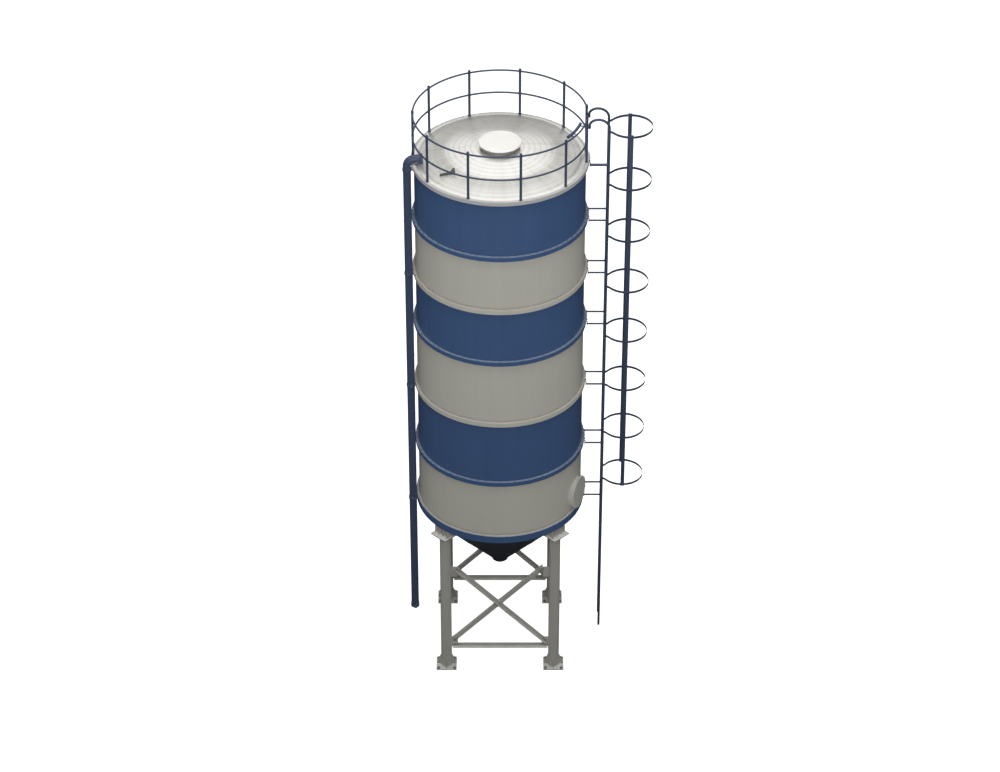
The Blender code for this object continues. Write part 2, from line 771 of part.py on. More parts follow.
def build_pipe_clamps():
    levels = ring_levels()
    spots = (
        (RIM_TOP - RIM_BAND - CLAMP_HEIGHT / 2 - 0.010, SHELL_RADIUS),
        (levels[4] + FLANGE_PLATE - FLANGE_BAND / 2, FLANGE_RADIUS),
        (levels[2] + FLANGE_PLATE - FLANGE_BAND / 2, FLANGE_RADIUS),
        (BASE_TOP - 0.050, FLANGE_RADIUS),
    )
    half = CLAMP_HEIGHT / 2
    for number, (level, seat) in enumerate(spots, start=1):
        stand = Matrix.Translation((PIPE_DISTANCE, 0, level))
        collar = moved(cylinder(PIPE_RADIUS + CLAMP_WALL, -half, half, 16), stand)
        lug = box((seat - 0.050, -CLAMP_WIDTH / 2, level - half + 0.004),
                  (PIPE_DISTANCE, CLAMP_WIDTH / 2, level + half - 0.004))
        mesh = moved(fused([collar, lug]), turn_z(PIPE_AZIMUTH))
        bore = tube([(0, 0, -1), (0, 0, 1)], PIPE_RADIUS + GAP, PIPE_SIDES)
        bore = moved(bore, turn_z(PIPE_AZIMUTH) @ stand)
        drum = moved(cylinder(seat + GAP, -1, 1, ROUND), Matrix.Translation((0, 0, level)))
        finish(f"pipe_clamp_{number}", cut(mesh, bore, drum), leg_grey)


def manhole_matrix():
    """Turns a shape that stands on Z to lie along the manhole's axis."""
    lay = Matrix.Rotation(math.radians(90), 4, "Y")
    return Matrix.Translation((0, 0, MANHOLE_HEIGHT)) @ turn_z(MANHOLE_AZIMUTH) @ lay


def build_manhole():
    face = MANHOLE_FACE
    profile = [
        (MANHOLE_FLANGE, face),
        (MANHOLE_FLANGE, face - 0.020),
        (MANHOLE_NECK, face - 0.020),
        (MANHOLE_NECK, face - 0.220),
        (MANHOLE_BORE, face - 0.220),
        (MANHOLE_BORE, face),
    ]
    neck = moved(turned(profile, MANHOLE_SIDES), manhole_matrix())
    drum = cylinder(SHELL_RADIUS + GAP, 3.0, 5.0, ROUND)
    finish("manhole_neck", cut(neck, drum), grey)
    profile = [
        (0.0, face + GAP + MANHOLE_COVER),
        (MANHOLE_FLANGE - 0.008, face + GAP + MANHOLE_COVER),
        (MANHOLE_FLANGE, face + GAP + MANHOLE_COVER - 0.008),
        (MANHOLE_FLANGE, face + GAP),
        (0.0, face + GAP),
    ]
    cover = moved(turned(profile, MANHOLE_SIDES, closed=False), manhole_matrix())
    finish("manhole_cover", cover, grey)


def centre_on_origin():
    """Moves the silo level, so that the middle of its outer box is over the origin."""
    bpy.context.view_layer.update()
    points = [item.matrix_world @ vertex.co for item in silo.objects for vertex in item.data.vertices]
    across = [point.x for point in points]
    along = [point.y for point in points]
    shift = Matrix.Translation((-(min(across) + max(across)) / 2, -(min(along) + max(along)) / 2, 0))
    for item in silo.objects:
        item.matrix_world = shift @ item.matrix_world


clear_scene()
silo = new_collection("cement_silo")
workshop = new_collection("workshop")
blue = new_material("blue_paint", BLUE, 0.45, 0.0)
grey = new_material("grey_paint", GREY, 0.50, 0.0)
white = new_material("white_paint", WHITE, 0.50, 0.0)
leg_grey = new_material("frame_paint", LEG_GREY, 0.55, 0.0)
navy = new_material("hopper_paint", NAVY, 0.50, 0.0)

build_shell()
build_roof()
build_roof_lug()
build_base()
build_legs()
build_bracing()
build_guard_rail()
build_ladder()
build_ladder_brackets()
build_cage()
build_fill_pipe()
build_pipe_clamps()
build_manhole()
centre_on_origin()
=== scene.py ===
import math

import bmesh
import bpy
from mathutils import Matrix, Vector


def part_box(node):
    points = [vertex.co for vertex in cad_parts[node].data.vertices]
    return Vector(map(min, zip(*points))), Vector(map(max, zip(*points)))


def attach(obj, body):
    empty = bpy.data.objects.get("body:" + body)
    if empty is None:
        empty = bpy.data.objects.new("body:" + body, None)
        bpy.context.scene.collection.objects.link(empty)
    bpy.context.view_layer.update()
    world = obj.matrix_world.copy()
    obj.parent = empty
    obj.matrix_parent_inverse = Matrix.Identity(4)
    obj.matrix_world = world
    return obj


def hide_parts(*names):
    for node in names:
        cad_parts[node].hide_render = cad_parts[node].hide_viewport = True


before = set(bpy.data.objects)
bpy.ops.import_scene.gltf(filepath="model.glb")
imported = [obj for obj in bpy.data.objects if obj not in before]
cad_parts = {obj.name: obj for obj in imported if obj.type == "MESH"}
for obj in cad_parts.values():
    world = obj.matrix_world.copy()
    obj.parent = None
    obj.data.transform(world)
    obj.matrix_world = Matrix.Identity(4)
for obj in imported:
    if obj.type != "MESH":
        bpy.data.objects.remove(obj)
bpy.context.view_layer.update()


# Node trees: one wrapper for a node's output, one for the tree it is in

class Wire:
    # A socket that can be used in sums; each operator adds a Math node.
    def __init__(self, board, socket):
        self.board = board
        self.socket = socket

    def out(self, name):
        return Wire(self.board, self.socket.node.outputs[name])

    def __add__(self, other):
        return self.board.maths("ADD", self, other)

    def __radd__(self, other):
        return self.board.maths("ADD", other, self)

    def __sub__(self, other):
        return self.board.maths("SUBTRACT", self, other)

    def __rsub__(self, other):
        return self.board.maths("SUBTRACT", other, self)

    def __mul__(self, other):
        return self.board.maths("MULTIPLY", self, other)

    def __rmul__(self, other):
        return self.board.maths("MULTIPLY", other, self)

    def __truediv__(self, other):
        return self.board.maths("DIVIDE", self, other)

    def __pow__(self, other):
        return self.board.maths("POWER", self, other)


class Board:
    # A node tree while it is being built.
    def __init__(self, tree):
        self.tree = tree

    def node(self, kind, settings=None, sockets=None, output=0):
        made = self.tree.nodes.new(kind)
        for name, value in (settings or {}).items():
            if name == "stops":
                self.setStops(made.color_ramp, value)
            else:
                setattr(made, name, value)
        self.plugAll(made, sockets or {})
        return Wire(self, made.outputs[output]) if made.outputs else made

    def plug(self, value, socket):
        if isinstance(value, Wire):
            self.tree.links.new(value.socket, socket)
        else:
            socket.default_value = value

    def plugAll(self, node, values):
        for key, value in values.items():
            self.plug(value, node.inputs[key])

    def setStops(self, ramp, stops):
        while len(ramp.elements) < len(stops):
            ramp.elements.new(1.0)
        for element, (position, level) in zip(ramp.elements, stops):
            element.position = position
            element.color = (level, level, level, 1.0)

    def maths(self, operation, *values):
        return self.node("ShaderNodeMath", {"operation": operation}, dict(enumerate(values)))

    def blend(self, share, first, second):
        return self.node("ShaderNodeMix", {"data_type": "RGBA"}, {0: share, 6: first, 7: second}, output=2)

    def clamped(self, value):
        return self.maths("MINIMUM", self.maths("MAXIMUM", value, 0.0), 1.0)

    def noise(self, place, scale, detail=3.0, roughness=0.5):
        return self.node("ShaderNodeTexNoise", {"noise_dimensions": "3D"},
                         {"Vector": place, "Scale": scale, "Detail": detail, "Roughness": roughness})

    def ramp(self, value, *stops):
        return self.node("ShaderNodeValToRGB", {"stops": stops}, {"Fac": value})

    def bump(self, strength, distance, height, **before):
        return self.node("ShaderNodeBump", sockets={"Strength": strength, "Distance": distance,
                                                    "Height": height, **before})

    def circle(self, points, radius):
        return self.node("GeometryNodeCurvePrimitiveCircle", sockets={"Resolution": points, "Radius": radius})

    def cylinder(self, sides, radius, depth):
        return self.node("GeometryNodeMeshCylinder", sockets={"Vertices": sides, "Radius": radius,
                                                              "Depth": depth})

    def lifted(self, shape, rise, **more):
        shift = self.node("ShaderNodeCombineXYZ", sockets={"Z": rise})
        return self.node("GeometryNodeTransform", sockets={"Geometry": shape, "Translation": shift, **more})

    def swept(self, path, section):
        return self.node("GeometryNodeCurveToMesh", sockets={"Curve": path, "Profile Curve": section,
                                                             "Fill Caps": True})

    def spread(self, points, shape, **more):
        return self.node("GeometryNodeInstanceOnPoints", sockets={"Points": points, "Instance": shape,
                                                                  **more})

    def together(self, parts):
        join = self.node("GeometryNodeJoinGeometry")
        for part in parts:
            self.plug(part, join.socket.node.inputs[0])
        return join


# Places and sizes read from the frame

def middleOf(node):
    low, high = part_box(node)
    return (low + high) / 2


shellAxis = middleOf("outlet_flange")
shellAxis.z = 0
aboutAxis = Matrix.Translation(shellAxis)
seatGap = 0.0003                      # between pieces that touch


# Finishes

def srgb(red, green, blue):
    # A colour as read off a screen, 0 to 255, in the linear values that the shader takes.
    def linear(value):
        value = value / 255
        return value / 12.92 if value <= 0.04045 else ((value + 0.055) / 1.055) ** 2.4
    return (linear(red), linear(green), linear(blue), 1.0)


def newMaterial(name):
    # A material with the board of its nodes and its shader.
    material = bpy.data.materials.new(name)
    material.use_nodes = True
    return material, Board(material.node_tree), material.node_tree.nodes["Principled BSDF"]


paintLook = {
    "dustShare": 0.25,
    "dustFrom": (0.55, 0.92),         # how level a face is where dust begins, and where it lies in full
    "cloud": 0.5,                     # broad change of tone
    "cloudScale": 0.9,
    "runs": 0.5,                      # upright streaks
    "runStretch": (5.0, 5.0, 0.30),
    "grain": 0.3,                     # fine change of tone
    "grainScale": 38.0,
    "roughness": 0.46,
    "specular": 0.35,
    "chalk": 0.7,                     # roughness of the colour itself, so that a round wall looks flat
    "metallic": 0.0,
    "peel": 0.10,                     # strength of the paint's orange peel
    "peelDepth": 0.0006,
    "peelScale": 160.0,
    "dents": 0.10,                    # strength of the sheet's slow waves
    "dentDepth": 0.03,
    "dentScale": 1.6,
    "footDirt": 0.0,                  # a darker line and haze just above a ledge, fading upwards
    "footFall": (60.0, 9.0),          # how fast its line and its haze thin out, per metre
    "footHaze": 0.14,
    # colour of chipped spots, and of the darker line above a ledge
    "dirt": (84, 76, 66),
    "chips": 0.0,
    "chipScale": 21.0,
    "chipEdge": (0.70, 0.73),
}


def paint(name, main, deep, dust, **changes):
    # A weathered paint from three colours as read off a screen: its own, where it is darker, and its dust.
    look = {**paintLook, **changes}
    dirt = srgb(*look["dirt"])
    material, board, shader = newMaterial(name)
    place = board.node("ShaderNodeTexCoord", output="Object")
    normal = board.node("ShaderNodeNewGeometry", output="Normal")
    upward = board.node("ShaderNodeSeparateXYZ", sockets={0: normal}, output="Z")
    broad = board.noise(place, look["cloudScale"], 2.0)
    grain = board.noise(place, look["grainScale"], 4.0, 0.6)
    stretched = board.node("ShaderNodeMapping", sockets={"Vector": place, "Scale": look["runStretch"]})
    runs = board.noise(stretched, 1.0, 5.0, 0.62)
    tone = 0.5 + look["cloud"] * (broad - 0.5) + look["runs"] * (runs - 0.5) + look["grain"] * (grain - 0.5)
    colour = board.blend(board.clamped(tone), srgb(*deep), srgb(*main))
    begins, lies = look["dustFrom"]
    settled = board.ramp(upward, (begins, 0.0), (lies, 1.0)) * look["dustShare"] * (0.6 + 0.8 * broad)
    colour = board.blend(settled, colour, srgb(*dust))
    # Darker line and streaky haze just above a ledge, fading upwards.
    if look["footDirt"]:
        aboveFoot = board.node("ShaderNodeAttribute", {"attribute_name": "aboveFoot"}, output="Fac")
        line, haze = [board.maths("EXPONENT", aboveFoot * -fall) for fall in look["footFall"]]
        footMark = line + look["footHaze"] * haze * runs
        colour = board.blend(board.maths("MINIMUM", footMark * look["footDirt"], 1.0), colour, dirt)
    if look["chips"]:
        whole, gone = look["chipEdge"]
        spots = board.ramp(board.noise(place, look["chipScale"], 6.0, 0.7), (whole, 0.0), (gone, 1.0))
        colour = board.blend(spots * look["chips"], colour, dirt)
    roughness = look["roughness"] + 0.16 * (grain - 0.5) + 0.12 * (broad - 0.5) + 0.2 * settled
    peel = board.noise(place, look["peelScale"], 2.0)
    slow = board.noise(place, look["dentScale"], 1.0)
    bumped = board.bump(look["dents"], look["dentDepth"], slow)
    bumped = board.bump(look["peel"], look["peelDepth"], peel, Normal=bumped)
    board.plugAll(shader, {"Base Color": colour, "Roughness": roughness, "Normal": bumped,
                           "Metallic": look["metallic"], "Specular IOR Level": look["specular"],
                           "Diffuse Roughness": look["chalk"]})
    return material


roofLook = {
    "bright": srgb(254, 252, 247),
    "shade": srgb(196, 193, 184),
    "dust": srgb(184, 183, 176),      # colour of the greyer, less metallic band
    "greyBand": (0.98, 1.06, 1.20, 1.48),   # radii where the band begins, is full, thins and ends
    "ringPitch": 0.105,               # metres between the turned lines
    "ringDepth": 0.22,
    "ringTone": 0.36,                 # how much darker a turned line is
    "stray": 0.012,                   # metres that it strays
    "fineTone": 0.25,                 # of the fine lines between
    "fineScale": 60.0,
    "rayTone": 0.85,                  # of the lines that run outwards
    "rayScale": 7.0,
    "cloudTone": 0.15,
    "roughness": 0.34,
    "metallic": 0.80,
}


def roofSheet():
    # Pale sheet with fine rings round the roof's middle and faint lines that run out from it.
    look = roofLook
    material, board, shader = newMaterial("roofSheet")
    place = board.node("ShaderNodeTexCoord", output="Object")
    centred = board.node("ShaderNodeMapping", sockets={"Vector": place, "Location": -shellAxis})
    split = board.node("ShaderNodeSeparateXYZ", sockets={0: centred})
    across = split.out("X")
    along = split.out("Y")
    radius = board.maths("SQRT", across * across + along * along)
    turn = board.maths("ARCTAN2", along, across)
    cloud = board.noise(centred, 3.0)
    phase = (radius + look["stray"] * cloud) * (2 * math.pi / look["ringPitch"])
    lines = (0.5 + 0.5 * board.maths("SINE", phase)) ** 4
    fine = board.node("ShaderNodeTexNoise", {"noise_dimensions": "1D"},
                      {"W": radius, "Scale": look["fineScale"], "Detail": 4.0, "Roughness": 0.7})
    outwards = board.node("ShaderNodeCombineXYZ", sockets={
        0: board.maths("SINE", turn) * look["rayScale"], 1: board.maths("COSINE", turn) * look["rayScale"]})
    rays = board.node("ShaderNodeTexNoise", {"noise_dimensions": "2D"},
                      {"Vector": outwards, "Scale": 1.0, "Detail": 5.0, "Roughness": 0.65})
    tone = (1.0 - look["ringTone"] * lines + look["fineTone"] * (fine - 0.5) + look["rayTone"] * (rays - 0.5)
            + look["cloudTone"] * (cloud - 0.5))
    colour = board.blend(board.clamped(tone), look["shade"], look["bright"])
    # A greyer, less metallic band between two radii.
    half = radius * 0.5               # a ramp ends at 1
    begin, full, thin, end = [limit / 2 for limit in look["greyBand"]]
    dull = board.ramp(half, (begin, 0.0), (full, 1.0)) * board.ramp(half, (thin, 1.0), (end, 0.0))
    dull = board.clamped(dull * (1.3 - rays - 0.25 * lines))
    colour = board.blend(dull, colour, look["dust"])
    roughness = look["roughness"] + 0.14 * (fine - 0.5) + 0.12 * (cloud - 0.5)
    bumped = board.bump(look["ringDepth"], 0.004, 0.6 * lines + 0.25 * fine)
    board.plugAll(shader, {"Base Color": colour, "Roughness": roughness, "Normal": bumped,
                           "Metallic": look["metallic"] * (1.0 - 0.9 * dull)})
    return material


shellBlue = paint("shellBlue", (71, 98, 140), (63, 88, 128), (160, 172, 190), dustShare=0.6, footDirt=0.35,
                  dirt=(46, 52, 64), cloud=0.7, runs=0.9)
shellGrey = paint("shellGrey", (197, 196, 187), (186, 184, 175), (200, 197, 188), dustShare=0.2, footDirt=0.6,
                  dirt=(118, 106, 96), cloud=0.7, runs=0.9)
manholeGrey = paint("manholeGrey", (200, 200, 194), (184, 184, 176), (206, 205, 198), dustShare=0.3,
                    cloud=0.6, runs=0.7)
rimGrey = paint("rimGrey", (188, 188, 188), (176, 176, 176), (216, 215, 210), dustShare=0.5)
frameGrey = paint("frameGrey", (186, 185, 179), (170, 169, 162), (216, 215, 209), dustShare=0.7,
                  roughness=0.55, chips=0.25, dirt=(104, 92, 76))
lugGrey = paint("lugGrey", (96, 98, 100), (80, 82, 84), (120, 120, 118))
clampLilac = paint("clampLilac", (196, 196, 206), (176, 176, 186), (206, 206, 210), dents=0.0)
hopperNavy = paint("hopperNavy", (48, 55, 64), (36, 42, 50), (70, 74, 80), roughness=0.5)
ladderBlue = paint("ladderBlue", (74, 86, 110), (60, 70, 90), (104, 114, 134), roughness=0.40, chips=0.2,
                   dirt=(70, 60, 52), peelScale=260.0, dents=0.0)
pipeBlue = paint("pipeBlue", (76, 90, 118), (64, 76, 100), (124, 134, 156), dustShare=0.3, roughness=0.38,
                 dents=0.0)
zincPlate = paint("zincPlate", (186, 186, 182), (150, 150, 146), (170, 166, 158), roughness=0.42,
                  metallic=0.8, specular=0.5, dents=0.0, grain=0.8)
roofMetal = roofSheet()
coverWhite = paint("coverWhite", (252, 251, 247), (236, 234, 228), (250, 249, 245), dustShare=0.1,
                   roughness=0.40, dents=0.03)
# Dark grey on the cover's skirt is painted shade: it draws the shadow gap under the disc.
skirtShadeGrey = paint("skirtShadeGrey", (150, 149, 144), (132, 131, 126), (170, 169, 164), dents=0.03)
print("finishes ready")


# Geometry Nodes trees

def newGroup(name, inputs):
    tree = bpy.data.node_groups.new(name, "GeometryNodeTree")
    tree.interface.new_socket("Geometry", in_out="INPUT", socket_type="NodeSocketGeometry")
    tree.interface.new_socket("Geometry", in_out="OUTPUT", socket_type="NodeSocketGeometry")
    for label, (kind, value) in inputs.items():
        socket = tree.interface.new_socket(label, in_out="INPUT", socket_type="NodeSocket" + kind)
        if value is not None:
            socket.default_value = value
    board = Board(tree)
    source = board.node("NodeGroupInput")
    return board, {label: source.out(label) for label in ("Geometry", *inputs)}


def closeGroup(board, shape, finish):
    realized = board.node("GeometryNodeRealizeInstances", sockets={"Geometry": shape})
    finished = board.node("GeometryNodeSetMaterial", sockets={"Geometry": realized, "Material": finish})
    board.node("NodeGroupOutput", sockets={"Geometry": finished})
    return board.tree


def turnGroup():
    # Turns a profile of points in the XZ plane round the Z axis.
    board, given = newGroup("turned profile", {"Segments": ("Int", 192), "Finish": ("Material", None)})
    profile = given["Geometry"]
    rows = board.node("GeometryNodeAttributeDomainSize", {"component": "MESH"}, {0: profile}, "Point Count")
    columns = given["Segments"] + 1
    sheet = board.node("GeometryNodeMeshGrid", sockets={"Size X": 1.0, "Size Y": 1.0,
                                                        "Vertices X": columns, "Vertices Y": rows})
    index = board.node("GeometryNodeInputIndex")
    column = board.maths("FLOOR", (index + 0.5) / rows)
    row = index - column * rows
    point = board.node("GeometryNodeSampleIndex", {"data_type": "FLOAT_VECTOR"},
                       {"Geometry": profile, "Value": board.node("GeometryNodeInputPosition"), "Index": row})
    angle = column * (2 * math.pi) / given["Segments"]
    turned = board.node("ShaderNodeVectorRotate", {"rotation_type": "Z_AXIS"},
                        {"Vector": point, "Angle": angle})
    shaped = board.node("GeometryNodeSetPosition", sockets={"Geometry": sheet, "Position": turned})
    closed = board.node("GeometryNodeMergeByDistance", sockets={"Geometry": shaped, "Distance": 0.00005})
    return closeGroup(board, closed, given["Finish"])


def tubeGroup():
    # A round bar along every chain of edges.
    board, given = newGroup("round bar", {"Radius": ("Float", 0.02), "Sides": ("Int", 16),
                                          "Finish": ("Material", None)})
    path = board.node("GeometryNodeMeshToCurve", sockets={"Mesh": given["Geometry"]})
    ring = board.circle(given["Sides"], given["Radius"])
    return closeGroup(board, board.swept(path, ring), given["Finish"])


def flatBarGroup():
    # A flat bar set on edge along every chain of edges.
    board, given = newGroup("flat bar", {"Thickness": ("Float", 0.006), "Height": ("Float", 0.05),
                                         "Finish": ("Material", None)})
    path = board.node("GeometryNodeMeshToCurve", sockets={"Mesh": given["Geometry"]})
    section = board.node("GeometryNodeCurvePrimitiveQuadrilateral",
                         sockets={"Width": given["Thickness"], "Height": given["Height"]})
    section = board.node("GeometryNodeFilletCurve", {"mode": "POLY"},
                         {"Curve": section, "Radius": given["Thickness"] * 0.3, "Count": 2})
    return closeGroup(board, board.swept(path, section), given["Finish"])


def boltHead(board, across, height):
    # A washer with a hexagon head and the end of the bolt on it, standing on Z.
    # Sides, then radius as a share of the width, then depth and rise as shares of the height.
    shapes = ((14, 0.92, 0.25, 0.125), (6, 0.577, 1.0, 0.75), (8, 0.30, 0.5, 1.5))
    return board.together([board.lifted(board.cylinder(sides, across * wide, height * deep), height * rise)
                           for sides, wide, deep, rise in shapes])


def boltsGroup():
    # A bolt on every vertex, standing along the vertex's "facing".
    board, given = newGroup("bolts", {"Across": ("Float", 0.019), "Height": ("Float", 0.010),
                                      "Seed": ("Int", 3), "Finish": ("Material", None)})
    bolt = boltHead(board, given["Across"], given["Height"])
    points = board.node("GeometryNodeMeshToPoints", sockets={"Mesh": given["Geometry"]})
    facing = board.node("GeometryNodeInputNamedAttribute", {"data_type": "FLOAT_VECTOR"}, {"Name": "facing"})
    spin = board.node("FunctionNodeRandomValue", {"data_type": "FLOAT"},
                      {2: 0.0, 3: math.pi / 3, "Seed": given["Seed"]}, output=1)
    turned = board.node("FunctionNodeAxisAngleToRotation", sockets={"Axis": (0, 0, 1), "Angle": spin})
    aimed = board.node("FunctionNodeAlignRotationToVector", {"axis": "Z"}, {"Vector": facing})
    placed = board.spread(points, bolt, Rotation=aimed)
    placed = board.node("GeometryNodeRotateInstances", sockets={"Instances": placed, "Rotation": turned})
    return closeGroup(board, placed, given["Finish"])


def rungsGroup():
    # Level rungs between two stringers, with a weld collar at each end.
    board, given = newGroup("rungs", {"Pitch": ("Float", 0.3), "Count": ("Int", 39),
                                      "Radius": ("Float", 0.0125), "Half Width": ("Float", 0.21),
                                      "Finish": ("Material", None)})
    step = board.node("ShaderNodeCombineXYZ", sockets={"Z": given["Pitch"]})
    line = board.node("GeometryNodeMeshLine", sockets={"Count": given["Count"], "Offset": step})
    parts = [board.cylinder(14, given["Radius"], given["Half Width"] * 2)]
    collar = board.cylinder(14, given["Radius"] * 1.35, 0.06)
    parts += [board.lifted(collar, given["Half Width"] * side) for side in (-1, 1)]
    laid = board.node("GeometryNodeTransform", sockets={"Geometry": board.together(parts),
                                                        "Rotation": (math.pi / 2, 0, 0)})
    return closeGroup(board, board.spread(line, laid), given["Finish"])


def railingGroup():
    # A run of guard rail round a roof: two rails and a post with a round top at the start of each bay.
    board, given = newGroup("railing", {
        "Radius": ("Float", 1.61), "First Angle": ("Float", 0.0), "Sweep": ("Float", 1.2),
        "Posts": ("Int", 2), "Bay Angle": ("Float", 0.6), "Post Radius": ("Float", 0.024),
        "Rail Radius": ("Float", 0.0175), "Post Height": ("Float", 0.96), "Top Height": ("Float", 0.92),
        "Middle Height": ("Float", 0.45), "Finish": ("Material", None)})
    ring = board.circle(14, given["Rail Radius"])
    post = given["Post Radius"]
    upright = given["Post Height"] - post * 0.75
    top = board.node("GeometryNodeMeshUVSphere", sockets={"Segments": 18, "Rings": 10, "Radius": post})
    foot = board.node("GeometryNodeMeshCone", sockets={"Vertices": 18, "Radius Top": post,
                                                       "Radius Bottom": post * 1.30, "Depth": 0.030})
    standing = [board.lifted(board.cylinder(18, post, upright), upright * 0.5),
                board.lifted(top, upright, Scale=(1.0, 1.0, 0.75)), board.lifted(foot, 0.0)]
    parts = []
    for label in ("Top Height", "Middle Height"):
        arc = board.node("GeometryNodeCurveArc", {"mode": "RADIUS"}, {
            "Resolution": 40, "Radius": given["Radius"], "Start Angle": given["First Angle"],
            "Sweep Angle": given["Sweep"]})
        parts.append(board.swept(board.lifted(arc, given[label]), ring))
        weld = board.cylinder(18, post * 1.12, given["Rail Radius"] * 2.6)
        standing.append(board.lifted(weld, given[label]))
    spots = board.node("GeometryNodePoints", sockets={"Count": given["Posts"]})
    angle = given["First Angle"] + board.node("GeometryNodeInputIndex") * given["Bay Angle"]
    spot = board.node("ShaderNodeCombineXYZ", sockets={"X": board.maths("COSINE", angle) * given["Radius"],
                                                       "Y": board.maths("SINE", angle) * given["Radius"]})
    spots = board.node("GeometryNodeSetPosition", sockets={"Geometry": spots, "Position": spot})
    parts.append(board.spread(spots, board.together(standing)))
    return closeGroup(board, board.together(parts), given["Finish"])


turnTree = turnGroup()
tubeTree = tubeGroup()
flatBarTree = flatBarGroup()
boltTree = boltsGroup()
boltSeed = 3                          # of how far each head is turned
rungTree = rungsGroup()
railTree = railingGroup()


def added(name, data):
    item = bpy.data.objects.new(name, data)
    bpy.context.scene.collection.objects.link(item)
    return item


def grown(group, mesh, values, merged=True):
    # The plain mesh that a tree makes of a mesh, with the tree's inputs set by their identifiers.
    item = added("growing", mesh)
    modifier = item.modifiers.new("shape", "NODES")
    modifier.node_group = group
    names = {entry.name: entry.identifier for entry in group.interface.items_tree
             if entry.item_type == "SOCKET" and entry.in_out == "INPUT"}
    for label, value in values.items():
        modifier[names[label]] = value
    depsgraph = bpy.context.evaluated_depsgraph_get()
    result = bpy.data.meshes.new_from_object(item.evaluated_get(depsgraph))
    bpy.data.objects.remove(item)
    if merged:
        outward(result)
    return result


# Meshes

def chain(points, closed=False):
    # Points joined by edges, for a tree to follow.
    mesh = bpy.data.meshes.new("chain")
    edges = [(index, index + 1) for index in range(len(points) - 1)]
    if closed:
        edges.append((len(points) - 1, 0))
    mesh.from_pydata(points, edges, [])
    return mesh


def moved(mesh, matrix):
    mesh.transform(matrix)
    return mesh


def turned(profile, finish, segments=192, matrix=aboutAxis):
    # Profile points are (radius, height); the last joins the first unless both are on the axis.
    points = [(radius, 0, height) for radius, height in profile]
    if profile[0][0] > 0.0001:
        points.append(points[0])
    return moved(grown(turnTree, chain(points), {"Segments": segments, "Finish": finish}), matrix)


def outward(mesh):
    # Merges what touches and turns every face outwards.
    work = bmesh.new()
    work.from_mesh(mesh)
    bmesh.ops.remove_doubles(work, verts=work.verts, dist=0.00002)
    bmesh.ops.recalc_face_normals(work, faces=work.faces)
    work.to_mesh(mesh)
    work.free()


def bar(points, radius, finish, sides=16, closed=False):
    return grown(tubeTree, chain(points, closed), {"Radius": radius, "Sides": sides, "Finish": finish})


def weld(points, size, finish, closed=False):
    # A weld bead along a run of points.
    return bar(points, size, finish, sides=8, closed=closed)


def ringPoints(radius, level, count, centre=shellAxis):
    angles = [2 * math.pi * step / count for step in range(count)]
    return [(centre.x + radius * math.cos(angle), centre.y + radius * math.sin(angle), level)
            for angle in angles]


def bead(radius, level, size, finish):
    # A weld bead round the silo's axis.
    return weld(ringPoints(radius, level, 192), size, finish, closed=True)


def block(low, high, finish, bevel=0.0015):
    low = Vector(low)
    high = Vector(high)
    work = bmesh.new()
    bmesh.ops.create_cube(work, size=1.0, matrix=Matrix.Translation((high + low) / 2)
                          @ Matrix.Diagonal((*(high - low), 1.0)))
    return softened(work, bevel, finish)


def plate(outline, thickness, finish, bevel=0.0015, matrix=None):
    # A flat outline in X and Y, its thickness half above and half below.
    work = bmesh.new()
    corners = [work.verts.new((x, y, -thickness / 2)) for x, y in outline]
    face = work.faces.new(corners)
    lifted = bmesh.ops.extrude_face_region(work, geom=[face])
    bmesh.ops.translate(work, vec=(0, 0, thickness),
                        verts=[part for part in lifted["geom"] if isinstance(part, bmesh.types.BMVert)])
    bmesh.ops.recalc_face_normals(work, faces=work.faces)
    return softened(work, bevel, finish, matrix)


def softened(work, bevel, finish, matrix=None):
    # The mesh of a plain solid, with its sharp edges rounded off.
    if bevel:
        edges = [edge for edge in work.edges if len(edge.link_faces) == 2 and edge.calc_face_angle() > 0.5]
        bmesh.ops.bevel(work, geom=edges, offset=bevel, segments=2, profile=0.6, affect="EDGES",
                        clamp_overlap=True)
    mesh = bpy.data.meshes.new("solid")
    work.to_mesh(mesh)
    work.free()
    mesh.materials.append(finish)
    return moved(mesh, matrix) if matrix is not None else mesh


def bolts(spots, facing, across, finish, height=None):
    # Bolts at the given spots, all standing along one direction.
    mesh = bpy.data.meshes.new("spots")
    mesh.from_pydata(spots, [], [])
    for entry in mesh.attributes.new("facing", "FLOAT_VECTOR", "POINT").data:
        entry.vector = facing
    return grown(boltTree, mesh, {"Across": across, "Height": height or across * 0.55, "Seed": boltSeed,
                                  "Finish": finish}, merged=False)


def joined(parts):
    # One mesh from several, each keeping its finishes.
    work = bmesh.new()
    finishes = []
    for mesh in parts:
        first = len(work.faces)
        work.from_mesh(mesh)
        work.faces.ensure_lookup_table()
        for face in work.faces[first:]:
            finish = mesh.materials[face.material_index]
            if finish not in finishes:
                finishes.append(finish)
            face.material_index = finishes.index(finish)
        bpy.data.meshes.remove(mesh)
    whole = bpy.data.meshes.new("whole")
    work.to_mesh(whole)
    work.free()
    for finish in finishes:
        whole.materials.append(finish)
    return whole


def settle(name, parts, sharpAngle=32, footLevel=None):
    # Names a finished piece after the CAD node whose place it takes, and shades it.
    mesh = joined(parts)
    mesh.name = name
    if footLevel is not None:
        tagFoot(mesh, footLevel)
    mesh.shade_smooth()
    mesh.set_sharp_from_angle(angle=math.radians(sharpAngle))
    item = added(f"{name}_dressed", mesh)
    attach(item, "root")
    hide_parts(name)


def tagFoot(mesh, level):
    # Stores how far each point is from the corner of a ledge and the wall, for the darker line drawn there.
    above = mesh.attributes.new("aboveFoot", "FLOAT", "POINT")
    for entry, vertex in zip(above.data, mesh.vertices):
        rise = vertex.co.z - level
        out = (vertex.co - shellAxis).xy.length - shell["radius"]
        entry.value = math.hypot(max(rise, 0.0), max(out, 0.0)) if rise > -0.0005 else 1.0


